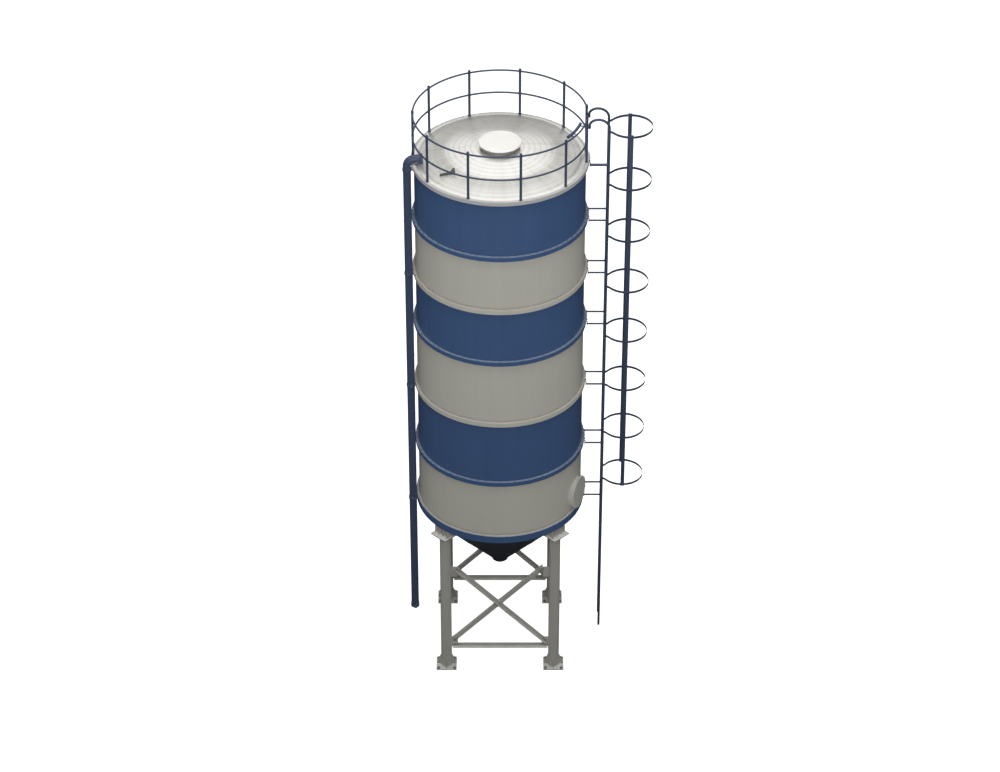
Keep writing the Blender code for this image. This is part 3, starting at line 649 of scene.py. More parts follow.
def rounded(corners, radii, steps=3):
    # An outline with each corner rounded by its own radius.
    points = []
    for index, radius in enumerate(radii):
        corner = Vector(corners[index])
        before = (Vector(corners[index - 1]) - corner).normalized()
        after = (Vector(corners[(index + 1) % len(corners)]) - corner).normalized()
        half = before.angle(after) / 2
        centre = corner + (before + after).normalized() * radius / math.sin(half)
        start = corner + before * radius / math.tan(half) - centre
        end = corner + after * radius / math.tan(half) - centre
        for step in range(steps + 1):
            points.append(tuple(centre + start.lerp(end, step / steps).normalized() * radius))
    return points


def repainted(mesh, finish, isChosen):
    # Gives the faces whose middle passes a test a finish of their own.
    mesh.materials.append(finish)
    for polygon in mesh.polygons:
        if isChosen(polygon.center):
            polygon.material_index = len(mesh.materials) - 1
    return mesh


def cutAway(mesh, tool):
    # What is left of a mesh when a tool's solid is taken from it.
    body = added("body", mesh)
    cutter = added("cutter", tool)
    modifier = body.modifiers.new("cut", "BOOLEAN")
    modifier.operation = "DIFFERENCE"
    modifier.solver = "EXACT"
    modifier.object = cutter
    result = bpy.data.meshes.new_from_object(body.evaluated_get(bpy.context.evaluated_depsgraph_get()))
    bpy.data.objects.remove(body)
    bpy.data.objects.remove(cutter)
    return result


def turnAt(angle):
    return aboutAxis @ Matrix.Rotation(math.radians(angle), 4, "Z")


# Shell rings

shell = {
    "radius": 1.600,
    "sheet": 0.005,
    "flangePlate": 0.008,
    "lowerFlange": 1.640,
    "band": 0.090,
    "fillet": 0.004,
    "bolts": 72,
    "boltAcross": 0.019,
    "boltCircle": 1.629,
    "seamSize": 0.0035,
    "seamAngles": (62, 118, 35, 145, 80, 100),   # of each ring's upright welds, the top ring first
}
ringCount = 6
flangeRadius = (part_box("shell_ring_1")[1].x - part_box("shell_ring_1")[0].x) / 2

manhole = {
    "angle": -22.5,
    "height": 4.012,
    "bore": 0.290,
    "neck": 0.315,
    "flange": 0.332,
    "flangeSteel": 0.020,
    "face": 1.665,
    "drum": 0.220,                    # depth of the neck behind its face
    "weld": 0.007,
    "cover": 0.025,
    "bolts": 16,
    "boltCircle": 0.311,
    "boltAcross": 0.019,
}
manholeTurn = (turnAt(manhole["angle"]) @ Matrix.Translation((0, 0, manhole["height"]))
               @ Matrix.Rotation(math.radians(90), 4, "Y"))


def ringProfile(foot, top, banded):
    # Outside from the top flange down, round the ledge and its band, and back up inside.
    radius = shell["radius"]
    flange = shell["flangePlate"]
    fillet = shell["fillet"]
    lower = flangeRadius if banded else shell["lowerFlange"]
    ledge = foot + flange
    steps = 12
    high = top - flange
    points = [(shell["lowerFlange"], top), (shell["lowerFlange"], high), (radius, high)]
    points += [(radius, high + (ledge - high) * step / steps) for step in range(1, steps)]
    points += [(radius, ledge + fillet), (radius + fillet, ledge)]
    points += [(lower - 0.002, ledge), (lower, ledge - 0.002)]
    if banded:
        hem = ledge - shell["band"]
        points += [(lower, hem), (lower - flange, hem), (lower - flange, foot)]
    else:
        points.append((lower, foot))
    return points + [(radius - shell["sheet"], foot), (radius - shell["sheet"], top)]


def makeShellRings():
    radius = shell["radius"]
    bore = manhole["bore"]
    drill = [(0, radius + 0.3), (bore, radius + 0.3), (bore, radius - 0.3), (0, radius - 0.3)]
    for number in range(1, ringCount + 1):
        name = f"shell_ring_{number}"
        low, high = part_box(name)
        banded = number < ringCount
        foot = low.z + shell["band"] - shell["flangePlate"] if banded else low.z
        ledge = foot + shell["flangePlate"]
        finish = shellBlue if number % 2 else shellGrey
        wall = turned(ringProfile(foot, high.z, banded), finish)
        if not banded:
            wall = cutAway(wall, turned(drill, finish, segments=64, matrix=manholeTurn))
        spots = ringPoints(shell["boltCircle"], ledge, shell["bolts"])
        parts = [wall, bolts(spots, (0, 0, 1), shell["boltAcross"], finish)]
        seamAngle = shell["seamAngles"][number - 1]
        for angle in (seamAngle, seamAngle + 180) if banded else (seamAngle,):
            ends = [(radius, 0, ledge), (radius, 0, high.z - shell["flangePlate"])]
            parts.append(moved(weld(ends, shell["seamSize"], finish), turnAt(angle)))
        settle(name, parts, footLevel=ledge)


makeShellRings()
print("shell rings ready")


# Roof and its cover

roof = {
    "edge": 1.560,
    "neck": 0.330,
    "neckHeight": 0.045,
    "neckWall": 0.008,
    "bulge": 0.030,
    "band": 0.076,
    "sheet": 0.005,
    "rimPlate": 0.008,
    "lip": 0.034,                     # from the sheet's edge to the rim's grey lip
    "weld": 0.005,
}
cover = {
    "disc": 0.030,                    # thickness of the round plate
    "skirtInset": 0.030,
    "skirtWall": 0.008,
    "seat": 0.070,                    # from its top down to where it lies on the neck
}
roofLow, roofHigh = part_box("roof")
rimTop = roofLow.z + roof["band"]
neckFoot = roofHigh.z - roof["neckHeight"]


def fromAxis(spot):
    return (spot - shellAxis).xy.length


def roofLevel(radius):
    share = (radius - roof["neck"]) / (roof["edge"] - roof["neck"])
    return neckFoot + (rimTop - neckFoot) * share + roof["bulge"] * 4 * share * (1 - share)


def roofOutline():
    neck = roof["neck"]
    edge = roof["edge"]
    radii = [neck + 0.006 + (edge - neck - 0.006) * step / 24 for step in range(25)]
    points = [(neck, roofHigh.z), (neck, neckFoot + 0.006)]
    points += [(radius, roofLevel(radius)) for radius in radii]
    lip = edge + roof["lip"]
    hem = flangeRadius - roof["rimPlate"]
    under = rimTop - roof["rimPlate"]
    inner = neck - roof["neckWall"]
    points += [(lip, rimTop), (lip + 0.003, rimTop - 0.0006), (lip + 0.006, rimTop)]
    points += [(flangeRadius - 0.004, rimTop), (flangeRadius, rimTop - 0.004), (flangeRadius, roofLow.z),
               (hem, roofLow.z), (hem, under), (edge - 0.005, under)]
    points += [(radius, roofLevel(radius) - roof["sheet"]) for radius in reversed(radii[1:-1:4])]
    return points + [(inner, neckFoot - roof["sheet"]), (inner, roofHigh.z)]


def makeRoof():
    lip = roof["edge"] + roof["lip"]
    sheet = repainted(turned(roofOutline(), roofMetal, segments=224), rimGrey,
                      lambda spot: fromAxis(spot) > lip)
    neckWeld = bead(roof["neck"] + 0.002, neckFoot + 0.005, roof["weld"], roofMetal)
    settle("roof", [sheet, neckWeld], sharpAngle=24)

    low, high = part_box("roof_cover")
    edge = (high.x - low.x) / 2
    seat = high.z - cover["seat"]
    under = high.z - cover["disc"]
    skirt = edge - cover["skirtInset"]
    inside = skirt - cover["skirtWall"]
    outline = [(0.0, high.z), (edge - 0.060, high.z), (edge - 0.020, high.z - 0.002),
               (edge - 0.006, high.z - 0.006), (edge, high.z - 0.014), (edge, under + 0.002),
               (edge - 0.002, under), (skirt, under), (skirt, low.z + 0.001), (skirt - 0.001, low.z),
               (inside, low.z), (inside, seat), (0.0, seat)]
    # The skirt under the disc takes the dark grey of painted shade.
    shape = repainted(turned(outline, coverWhite, segments=96), skirtShadeGrey,
                      lambda spot: spot.z < under + 0.001 and fromAxis(spot) > inside - 0.002)
    settle("roof_cover", [shape])


makeRoof()


# Lifting lug

lug = {
    "place": (-0.965, -0.800),
    "length": 0.280,
    "height": 0.150,
    "ledge": 0.040,                   # height of its low end
    "steel": 0.016,
    "arm": 0.035,                     # width of the upright arm
    "hole": 0.011,
    "holeDown": 0.030,                # from the arm's top to the middle of its hole
}


def makeLug():
    half = lug["length"] / 2
    tall = lug["height"]
    ledge = lug["ledge"]
    inner = half - lug["arm"]
    corners = [(-half, -0.06), (half, -0.06), (half, tall), (inner, tall), (inner - 0.055, ledge + 0.030),
               (-half, ledge * 0.5)]
    outline = rounded(corners, (0.002, 0.002, 0.012, 0.010, 0.030, 0.008))
    foot = Vector((*lug["place"], roofLevel(math.hypot(*lug["place"]))))
    stand = aboutAxis @ Matrix.Translation(foot) @ Matrix.Rotation(math.radians(90), 4, "X")
    web = plate(outline, lug["steel"], lugGrey, matrix=stand)
    sheet = [(radius, roofLevel(radius) + seatGap) for radius in (0.33, 0.6, 0.9, 1.2, 1.55)]
    under = turned([(0, rimTop + 0.3), *sheet, (1.60, rimTop), (1.60, rimTop - 0.4), (0, rimTop - 0.4)],
                   lugGrey, segments=96)
    hole = Matrix.Translation((half - lug["arm"] / 2, tall - lug["holeDown"], 0))
    drill = turned([(0, 0.05), (lug["hole"], 0.05), (lug["hole"], -0.05), (0, -0.05)], lugGrey, segments=24,
                   matrix=stand @ hole)
    settle("roof_lug", [cutAway(cutAway(web, under), drill)])


makeLug()
print("roof ready")


# Base ring, hopper and outlet

hopper = {
    "outlet": 0.141,
    "wall": 0.007,
    "seamLevel": 2.750,
    "seamAngles": (20, 110, 200, 290),
    "seamSize": 0.004,
}
baseLow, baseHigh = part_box("base_ring")
coneLow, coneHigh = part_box("hopper_cone")
coneTop = (coneHigh.x - coneLow.x) / 2


def coneRadius(level):
    share = (level - coneLow.z) / (coneHigh.z - coneLow.z)
    return hopper["outlet"] + (coneTop - hopper["outlet"]) * share


def makeBase():
    radius = shell["radius"]
    under = baseHigh.z - shell["flangePlate"]
    band = flangeRadius - shell["flangePlate"]
    inside = radius - shell["sheet"]
    edge = 0.003
    outline = [(flangeRadius - edge, baseHigh.z), (flangeRadius, baseHigh.z - edge),
               (flangeRadius, baseLow.z + edge), (flangeRadius - edge, baseLow.z), (band, baseLow.z),
               (band, under), (radius, under), (radius, baseLow.z), (inside, baseLow.z), (inside, baseHigh.z)]
    settle("base_ring", [turned(outline, shellBlue)], footLevel=baseHigh.z)

    levels = [coneHigh.z + (coneLow.z - coneHigh.z) * step / 16 for step in range(17)]
    outline = [(coneRadius(level), level) for level in levels]
    outline += [(hopper["outlet"] - hopper["wall"], coneLow.z), (coneTop - hopper["wall"], coneHigh.z)]
    parts = [turned(outline, hopperNavy),
             bead(coneRadius(hopper["seamLevel"]), hopper["seamLevel"], hopper["seamSize"], hopperNavy)]
    for angle in hopper["seamAngles"]:
        ends = [(coneRadius(level), 0, level) for level in (coneHigh.z - 0.02, coneLow.z + 0.01)]
        parts.append(moved(weld(ends, hopper["seamSize"], hopperNavy), turnAt(angle)))
    settle("hopper_cone", parts)

    low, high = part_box("outlet_flange")
    reach = (high.x - low.x) / 2
    bore = hopper["outlet"] - hopper["wall"]
    edge = 0.001
    outline = [(reach - edge, high.z), (reach, high.z - edge), (reach, low.z + edge), (reach - edge, low.z),
               (bore, low.z), (bore, high.z)]
    settle("outlet_flange", [turned(outline, hopperNavy, segments=64)])


makeBase()
print("base and hopper ready")


# Legs

leg = {
    "offset": 1.080,
    "radius": 0.1095,
    "footWidth": 0.410,
    "footPlate": 0.020,
    "gussetHeight": 0.250,
    "gussetInset": 0.010,             # from the foot plate's edge
    "gussetToe": 0.030,               # its height there
    "gusset": 0.012,
    "headWidth": 0.400,
    "headPlate": 0.025,
    "headTop": 3.335,
    "ribs": 4,
    "ribPitch": 0.105,
    "ribOverhang": 0.045,
    "anchorInset": 0.045,
    "anchorAcross": 0.036,
    "anchorHeight": 0.026,
    "weld": 0.005,
    "postWeld": 0.008,
}
upright = Matrix.Rotation(math.pi / 2, 4, "X")      # stands a flat plate up


def legFoot():
    radius = leg["radius"]
    half = leg["footWidth"] / 2
    floor = leg["footPlate"]
    tip = half - leg["gussetInset"]
    corners = [(-half, -half), (half, -half), (half, half), (-half, half)]
    parts = [plate(rounded(corners, (0.006,) * 4), floor, frameGrey,
                   matrix=Matrix.Translation((0, 0, floor / 2)))]
    outline = [(radius - 0.010, floor), (tip, floor), (tip, floor + leg["gussetToe"]),
               (radius + 0.012, leg["gussetHeight"]), (radius - 0.010, leg["gussetHeight"])]
    for quarter in range(4):
        turn = Matrix.Rotation(math.pi / 2 * quarter, 4, "Z")
        parts.append(plate(outline, leg["gusset"], frameGrey, matrix=turn @ upright))
        for side in (-1, 1):
            across = side * leg["gusset"] / 2
            run = [(tip - 0.002, across, floor), (radius, across, floor + 0.001),
                   (radius, across, leg["gussetHeight"])]
            parts.append(moved(weld(run, leg["weld"], frameGrey), turn))
    inset = half - leg["anchorInset"]
    spots = [(x, y, floor) for x in (-inset, inset) for y in (-inset, inset)]
    return parts + [bolts(spots, (0, 0, 1), leg["anchorAcross"], zincPlate, height=leg["anchorHeight"])]


def legHead():
    # Head plate and ribs of a leg whose axis is on +X at its distance from the silo's axis.
    distance = leg["offset"] * math.sqrt(2)
    half = leg["headWidth"] / 2
    top = leg["headTop"]
    nearCone = coneRadius(top) + 2 * seatGap
    reaches = [half * (1 - step / 6) for step in range(13)]
    arc = [(math.sqrt(nearCone ** 2 - reach ** 2), reach) for reach in reaches]
    parts = [plate([(distance + half, -half), (distance + half, half), *arc], leg["headPlate"], frameGrey,
                   matrix=Matrix.Translation((0, 0, top - leg["headPlate"] / 2)))]
    ribTop = baseLow.z - seatGap
    far = shell["radius"] + leg["ribOverhang"]
    for index in range(leg["ribs"]):
        middle = (index - (leg["ribs"] - 1) / 2) * leg["ribPitch"]
        near = [math.sqrt((coneRadius(level) + 2 * seatGap) ** 2 - middle ** 2) for level in (top, ribTop)]
        outline = [(near[0], top), (far, top), (far, ribTop), (near[1], ribTop)]
        parts.append(plate(outline, leg["gusset"], frameGrey,
                           matrix=Matrix.Translation((0, middle, 0)) @ upright))
        for side in (-1, 1):
            across = middle + side * leg["gusset"] / 2
            ends = [(near[0] + 0.01, across, top), (far - 0.004, across, top)]
            parts.append(weld(ends, leg["weld"], frameGrey))
    return parts


def makeLegs():
    places = {"leg_rear_right": 45, "leg_rear_left": 135, "leg_front_left": 225, "leg_front_right": 315}
    foot = leg["footPlate"]
    head = leg["headTop"] - leg["headPlate"]
    for name, azimuth in places.items():
        angle = math.radians(azimuth)
        spot = Vector((math.cos(angle), math.sin(angle), 0)) * leg["offset"] * math.sqrt(2)
        stand = aboutAxis @ Matrix.Translation(spot)
        parts = [turned([(0, head), (leg["radius"], head), (leg["radius"], foot), (0, foot)], frameGrey,
                        segments=48, matrix=stand)]
        for level in (foot, head):
            ring = ringPoints(leg["radius"], level, 48, centre=Vector())
            parts.append(moved(weld(ring, leg["postWeld"], frameGrey, closed=True), stand))
        parts += [moved(part, stand) for part in legFoot()]
        parts += [moved(part, turnAt(azimuth)) for part in legHead()]
        settle(name, parts)


makeLegs()
print("legs ready")


# Bracing

brace = {
    "plane": 1.100,
    "plate": 0.010,
    "width": 0.080,
    "steel": 0.008,
    "low": (0.940, 0.625),            # a crossed bar's ends, from the side's middle and above the ground
    "high": (0.870, 2.483),
    "tieBottom": 0.500,
    "tieReach": 0.950,
    "cornerPlate": (0.125, 0.250),
    "plateLevels": (0.480, 2.260),    # undersides of the lower and upper corner plates
    "crossing": 0.130,
    "boltAcross": 0.024,
    "boltsIn": (0.040, 0.100),        # of a bar's bolts from its end
    "toe": 0.004,
    "root": 0.009,
}


def angleBar(start, end, plane, outwardSide, edge):
    # A steel angle, its flat leg on a plane and the other leg out at one edge; its bolt spots too.
    start = Vector(start)
    end = Vector(end)
    along = (end - start).normalized()
    out = Vector((0, outwardSide, 0))
    if out.cross(along).z < 0:
        start, end = end, start
        along = -along
    across = out.cross(along)
    width = brace["width"]
    half = width / 2
    steel = brace["steel"]
    toe = brace["toe"]
    corners = [(-half, 0), (half, 0), (half, steel), (steel - half, steel), (steel - half, width),
               (-half, width)]
    outline = rounded(corners, (0.001, 0.001, toe, brace["root"], toe, 0.001))
    if edge == "upper":
        outline = [(-x, y) for x, y in reversed(outline)]
    middle = (start + end) / 2
    middle.y = plane
    turn = Matrix((across, out, along)).transposed().to_4x4()
    mesh = plate(outline, (end - start).length, frameGrey, bevel=0, matrix=Matrix.Translation(middle) @ turn)
    spots = []
    for inset in brace["boltsIn"]:
        for spot in (start + along * inset, end - along * inset):
            spots.append((spot.x, plane + outwardSide * steel, spot.z))
    return mesh, spots


def makeBracing():
    across = brace["boltAcross"]
    outer = -brace["plane"] - brace["plate"] / 2
    inner = -brace["plane"] + brace["plate"] / 2
    lowReach, low = brace["low"]
    highReach, high = brace["high"]
    tie = brace["tieBottom"] + brace["width"] / 2
    width, height = brace["cornerPlate"]
    legEdge = leg["offset"] - math.sqrt(leg["radius"] ** 2 - (brace["plane"] - leg["offset"]) ** 2)
    runs = [((-highReach, 0, high), (lowReach, 0, low), outer, -1, inner, "lower"),
            ((-lowReach, 0, low), (highReach, 0, high), inner, 1, outer, "upper"),
            ((-brace["tieReach"], 0, tie), (brace["tieReach"], 0, tie), outer, -1, inner, "lower")]
    placings = {"front": aboutAxis, "right": turnAt(90), "left": turnAt(-90),
                "rear": aboutAxis @ Matrix.Translation((0, 2 * brace["plane"], 0))}
    for side, placing in placings.items():
        parts = []
        for start, end, plane, out, back, edge in runs:
            mesh, spots = angleBar(start, end, plane, out, edge)
            parts += [mesh, bolts(spots, (0, out, 0), across, zincPlate),
                      bolts([(x, back, z) for x, y, z in spots], (0, -out, 0), across, zincPlate)]
        half = brace["crossing"] / 2
        middle = low + (high - low) * lowReach / (lowReach + highReach)
        parts.append(block((-half, outer, middle - half), (half, inner, middle + half), frameGrey))
        for face, out in ((outer - brace["steel"], -1), (inner + brace["steel"], 1)):
            parts.append(bolts([(0, face, middle)], (0, out, 0), across, zincPlate))
        for hand in (-1, 1):
            near = hand * legEdge
            ends = sorted((near, hand * (legEdge - width)))
            for bottom in brace["plateLevels"]:
                parts.append(block((ends[0], outer, bottom), (ends[1], inner, bottom + height), frameGrey))
                for face in (outer, inner):
                    run = [(near, face, bottom + 0.01), (near, face, bottom + height - 0.01)]
                    parts.append(weld(run, leg["weld"], frameGrey))
        settle(f"bracing_{side}", [moved(part, placing) for part in parts])


makeBracing()
print("bracing ready")


# Guard rail

rail = {
    "radius": 1.610,
    "post": 0.02415,
    "tube": 0.0175,
    "firstPost": 7.5,
    "pitch": 34.5,
    "topHeight": 0.924,
    "middleHeight": 0.449,
    "postHeight": 0.985,
    "baysPerPanel": 2,
    "panels": 5,
    "grabRadius": 1.520,
    "grabTube": 0.028,
    "grabStub": 0.012,
    "grabAngles": (324.0, 345.0),
    "stubInset": 3.0,                 # degrees from the grab bar's ends to its stubs
}


def arcPoints(radius, level, start, end, steps):
    angles = [math.radians(start + (end - start) * step / steps) for step in range(steps + 1)]
    return [(radius * math.cos(angle), radius * math.sin(angle), level) for angle in angles]


def grabBar():
    level = rimTop + rail["topHeight"]
    first, last = rail["grabAngles"]
    points = arcPoints(rail["grabRadius"], level, first, last, 20)
    parts = [moved(bar(points, rail["grabTube"], ladderBlue), aboutAxis)]
    for angle in (first + rail["stubInset"], last - rail["stubInset"]):
        ends = [(rail["grabRadius"], 0, level), (rail["radius"], 0, level)]
        parts.append(moved(bar(ends, rail["grabStub"], ladderBlue), turnAt(angle)))
    return parts


def makeGuardRail():
    stopShort = math.degrees((rail["post"] + seatGap) / rail["radius"])
    panelAngle = rail["pitch"] * rail["baysPerPanel"]
    for panel in range(rail["panels"]):
        isEnd = panel == rail["panels"] - 1
        start = rail["firstPost"] + panelAngle * panel
        mesh = grown(railTree, chain([(0, 0, 0), (0, 0, 1)]), {
            "Radius": rail["radius"], "First Angle": math.radians(start),
            "Sweep": math.radians(panelAngle if isEnd else panelAngle - stopShort),
            "Posts": rail["baysPerPanel"] + (1 if isEnd else 0), "Bay Angle": math.radians(rail["pitch"]),
            "Post Radius": rail["post"], "Rail Radius": rail["tube"], "Post Height": rail["postHeight"],
            "Top Height": rail["topHeight"], "Middle Height": rail["middleHeight"], "Finish": ladderBlue})
        parts = [moved(mesh, aboutAxis @ Matrix.Translation((0, 0, rimTop + seatGap)))]
        if isEnd:
            parts += grabBar()
        settle(f"guard_rail_{panel + 1}", parts)


makeGuardRail()
print("guard rail ready")


# Ladder and its brackets

ladder = {
    "reach": 2.010,
    "stringer": 0.024,
    "foot": 0.323,
    "rung": 0.0125,
    "pitch": 0.300,
    "firstRung": 0.450,
    "rungs": 39,
    "archStart": 11.990,
    "archEnd": 12.050,
    "archRise": 0.150,
    "archTail": 0.060,
    "brackets": 7,
    "strut": 0.018,
    "rimStrut": 0.026,
    "plate": 0.008,
    "boltAcross": 0.019,
    "boltsOut": (0.060, 0.140),       # of a bracket's bolts from its middle
}
ladderHalf = rail["radius"] * math.sin(math.radians(rail["firstPost"]))


def stringerPoints(side):
    firstPost = rail["radius"] * math.cos(math.radians(rail["firstPost"]))
    tail = firstPost + rail["post"] + ladder["stringer"] + seatGap
    across = side * ladderHalf
    middle = (ladder["reach"] + tail) / 2
    half = (ladder["reach"] - tail) / 2
    points = [(ladder["reach"], across, ladder["foot"])]
    for step in range(25):
        angle = math.pi * step / 24
        base = ladder["archStart"] + (ladder["archEnd"] - ladder["archStart"]) * step / 24
        points.append((middle + half * math.cos(angle), across, base + ladder["archRise"] * math.sin(angle)))
    return points + [(tail, across, ladder["archEnd"] - ladder["archTail"])]


def makeLadder():
    parts = [bar(stringerPoints(side), ladder["stringer"], ladderBlue) for side in (-1, 1)]
    rungs = grown(rungTree, chain([(0, 0, 0), (0, 0, 1)]), {
        "Pitch": ladder["pitch"], "Count": ladder["rungs"], "Radius": ladder["rung"],
        "Half Width": ladderHalf, "Finish": ladderBlue})
    parts.append(moved(rungs, Matrix.Translation((ladder["reach"], 0, ladder["firstRung"]))))
    settle("ladder", [moved(part, aboutAxis) for part in parts])


def makeBrackets():
    # Each one a plate on the shell with a strut to either stringer, the rim's with one strut.
    for number in range(1, ladder["brackets"] + 1):
        name = f"ladder_bracket_{number}"
        low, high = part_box(name)
        isRim = number == ladder["brackets"]
        level = (low.z + high.z) / 2
        halfWidth = (high.y - low.y) / 2
        back = low.x
        front = back + ladder["plate"]
        parts = [block((back, -halfWidth, low.z), (front, halfWidth, high.z), ladderBlue)]
        radius = ladder["rimStrut"] if isRim else ladder["strut"]
        end = shellAxis.x + ladder["reach"] - ladder["stringer"] + 0.002
        for side in (-1,) if isRim else (-1, 1):
            across = side * ladderHalf
            for first, last, size in ((front - 0.002, end, 1), (front, front + 0.007, 1.25),
                                      (end - 0.006, end + 0.001, 1.15)):
                parts.append(bar([(first, across, level), (last, across, level)], radius * size, ladderBlue))
        spots = [(front, side * out, level) for side in (-1, 1) for out in ladder["boltsOut"]]
        parts.append(bolts(spots, (1, 0, 0), ladder["boltAcross"], ladderBlue))
        settle(name, parts)


makeLadder()
makeBrackets()
print("ladder ready")


# Safety cage

cage = {
    "centre": 2.410,
    "radius": 0.413,
    "steel": 0.006,
    "height": 0.050,
    "hoops": 8,
    "arcFrom": 144.0,
    "boltAcross": 0.017,
}


def hoopPath():
    middle = cage["radius"] - cage["steel"] / 2
    start = ladder["reach"] + ladder["stringer"] - 0.001 - cage["centre"]
    arc = arcPoints(middle, 0, cage["arcFrom"], -cage["arcFrom"], 72)
    ends = [(start, side * (ladderHalf - cage["steel"] / 2), 0) for side in (1, -1)]
    return [ends[0], *arc, ends[1]]


def makeCage():
    path = hoopPath()
    levels = []
    for number in range(1, cage["hoops"] + 1):
        name = f"cage_hoop_{number}"
        level = middleOf(name).z
        levels.append(level)
        mesh = grown(flatBarTree, chain(path), {"Thickness": cage["steel"], "Height": cage["height"],
                                                "Finish": ladderBlue})
        settle(name, [moved(mesh, aboutAxis @ Matrix.Translation((cage["centre"], 0, level)))])
    for name, side in (("cage_strap_front", -1), ("cage_strap_rear", 1)):
        low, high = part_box(name)
        middle = middleOf(name)
        parts = [block(low, high, ladderBlue)]
        for face, out in ((middle.y - side * cage["steel"] / 2, -side), (side * cage["radius"], side)):
            spots = [(middle.x, face, level) for level in levels]
            parts.append(bolts(spots, (0, out, 0), cage["boltAcross"], ladderBlue))
        settle(name, parts)


makeCage()
print("cage ready")


# Fill pipe, its socket, coupling and clamps

pipe = {
    "azimuth": 189.0,
    "distance": 1.742,
    "radius": 0.076,
    "top": 11.370,
    "bend": 0.130,
    "socketOuter": 1.505,
    "socketInner": 1.450,
    "socketRadius": 0.092,
    "coupling": 0.086,
    "couplingBore": 0.064,
    "earReach": 0.110,
    "clamps": 4,
    "clampWall": 0.010,
    "lugWidth": 0.060,
    "earSteel": 0.008,
    "boltAcross": 0.019,
    "weldPitch": 3.0,
    "weldWall": 0.0025,
}
pipeTurn = turnAt(pipe["azimuth"])


def collar(low, high, wall, finish):
    # A plain ring round the pipe.
    radius = pipe["radius"]
    edge = min(wall, high - low) * 0.3
    profile = [(radius + wall - edge, high), (radius + wall, high - edge), (radius + wall, low + edge),
               (radius + wall - edge, low), (radius, low), (radius, high)]
    return turned(profile, finish, segments=48, matrix=Matrix.Translation((pipe["distance"], 0, 0)))


def makePipe():
    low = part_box("fill_pipe")[0]
    distance = pipe["distance"]
    bend = pipe["bend"]
    top = pipe["top"]
    points = [(distance, 0, low.z)]
    for step in range(17):
        angle = math.pi / 2 * step / 16
        points.append((distance - bend + bend * math.cos(angle), 0, top - bend + bend * math.sin(angle)))
    points.append((pipe["socketOuter"] - 0.02, 0, top))
    parts = [bar(points, pipe["radius"], pipeBlue, sides=32)]
    level = low.z + pipe["weldPitch"]
    while level < top - bend - 0.3:
        parts.append(collar(level - 0.005, level + 0.005, pipe["weldWall"], pipeBlue))
        level += pipe["weldPitch"]
    parts.append(collar(top - bend - 0.006, top - bend + 0.004, pipe["weldWall"], pipeBlue))
    settle("fill_pipe", [moved(part, pipeTurn) for part in parts])


def makeSocket():
    lay = Matrix.Translation((0, 0, pipe["top"])) @ Matrix.Rotation(math.pi / 2, 4, "Y")
    radius = pipe["socketRadius"]
    bore = pipe["couplingBore"]
    outer = pipe["socketOuter"]
    inner = pipe["socketInner"]
    profile = [(pipe["radius"], outer), (radius - 0.002, outer), (radius, outer - 0.003),
               (radius, inner + 0.003), (radius - 0.003, inner), (bore, inner), (bore, outer - 0.02),
               (pipe["radius"], outer - 0.02)]
    socket = turned(profile, pipeBlue, segments=48, matrix=lay)
    settle("fill_pipe_socket", [moved(socket, pipeTurn)])


def makeCoupling():
    low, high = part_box("fill_coupling")
    foot = low.z
    distance = pipe["distance"]
    wide = pipe["coupling"]
    bore = pipe["couplingBore"]
    steps = [(0.010, 0.100), (0.002, 0.096), (0.002, 0.082), (0.008, 0.078), (0.008, 0.052), (0.0, 0.048),
             (0.0, 0.003), (0.003, 0.0)]         # inset and height of each corner of its outside
    profile = [(wide - 0.010, high.z), *[(wide - inset, foot + rise) for inset, rise in steps], (bore, foot),
               (bore, high.z)]
    parts = [turned(profile, pipeBlue, segments=48, matrix=Matrix.Translation((distance, 0, 0)))]
    for side in (-1, 1):
        ends = sorted((side * (wide - 0.012), side * pipe["earReach"]))
        parts.append(block((distance - 0.022, ends[0], foot + 0.010),
                           (distance + 0.022, ends[1], foot + 0.040), pipeBlue, bevel=0.004))
    settle("fill_coupling", [moved(part, pipeTurn) for part in parts])


def makeClamp(name, seat):
    low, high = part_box(name)
    bottom, top = low.z, high.z
    distance = pipe["distance"]
    outer = pipe["radius"] + pipe["clampWall"]
    half = pipe["lugWidth"] / 2
    near = distance - pipe["radius"] - 0.004
    parts = [collar(bottom, top, pipe["clampWall"], pipeBlue),
             block((seat + 0.001, -half, bottom + 0.004), (near, half, top - 0.004), clampLilac)]
    middle = (bottom + top) / 2
    for side in (-1, 1):
        ends = sorted((side * (outer - 0.006), side * (outer + 0.032)))
        for back in (distance - 0.010, distance + 0.002):
            parts.append(block((back, ends[0], bottom + 0.006),
                               (back + pipe["earSteel"], ends[1], top - 0.006), pipeBlue))
        across = side * (outer + 0.014)
        for face, out in ((distance + 0.010, 1), (distance - 0.010, -1)):
            parts.append(bolts([(face, across, middle)], (out, 0, 0), pipe["boltAcross"], pipeBlue))
    settle(name, [moved(part, pipeTurn) for part in parts])


makePipe()
makeSocket()
makeCoupling()
for number in range(1, pipe["clamps"] + 1):
    makeClamp(f"pipe_clamp_{number}", shell["radius"] if number == 1 else flangeRadius)
print("fill pipe ready")


# Manhole

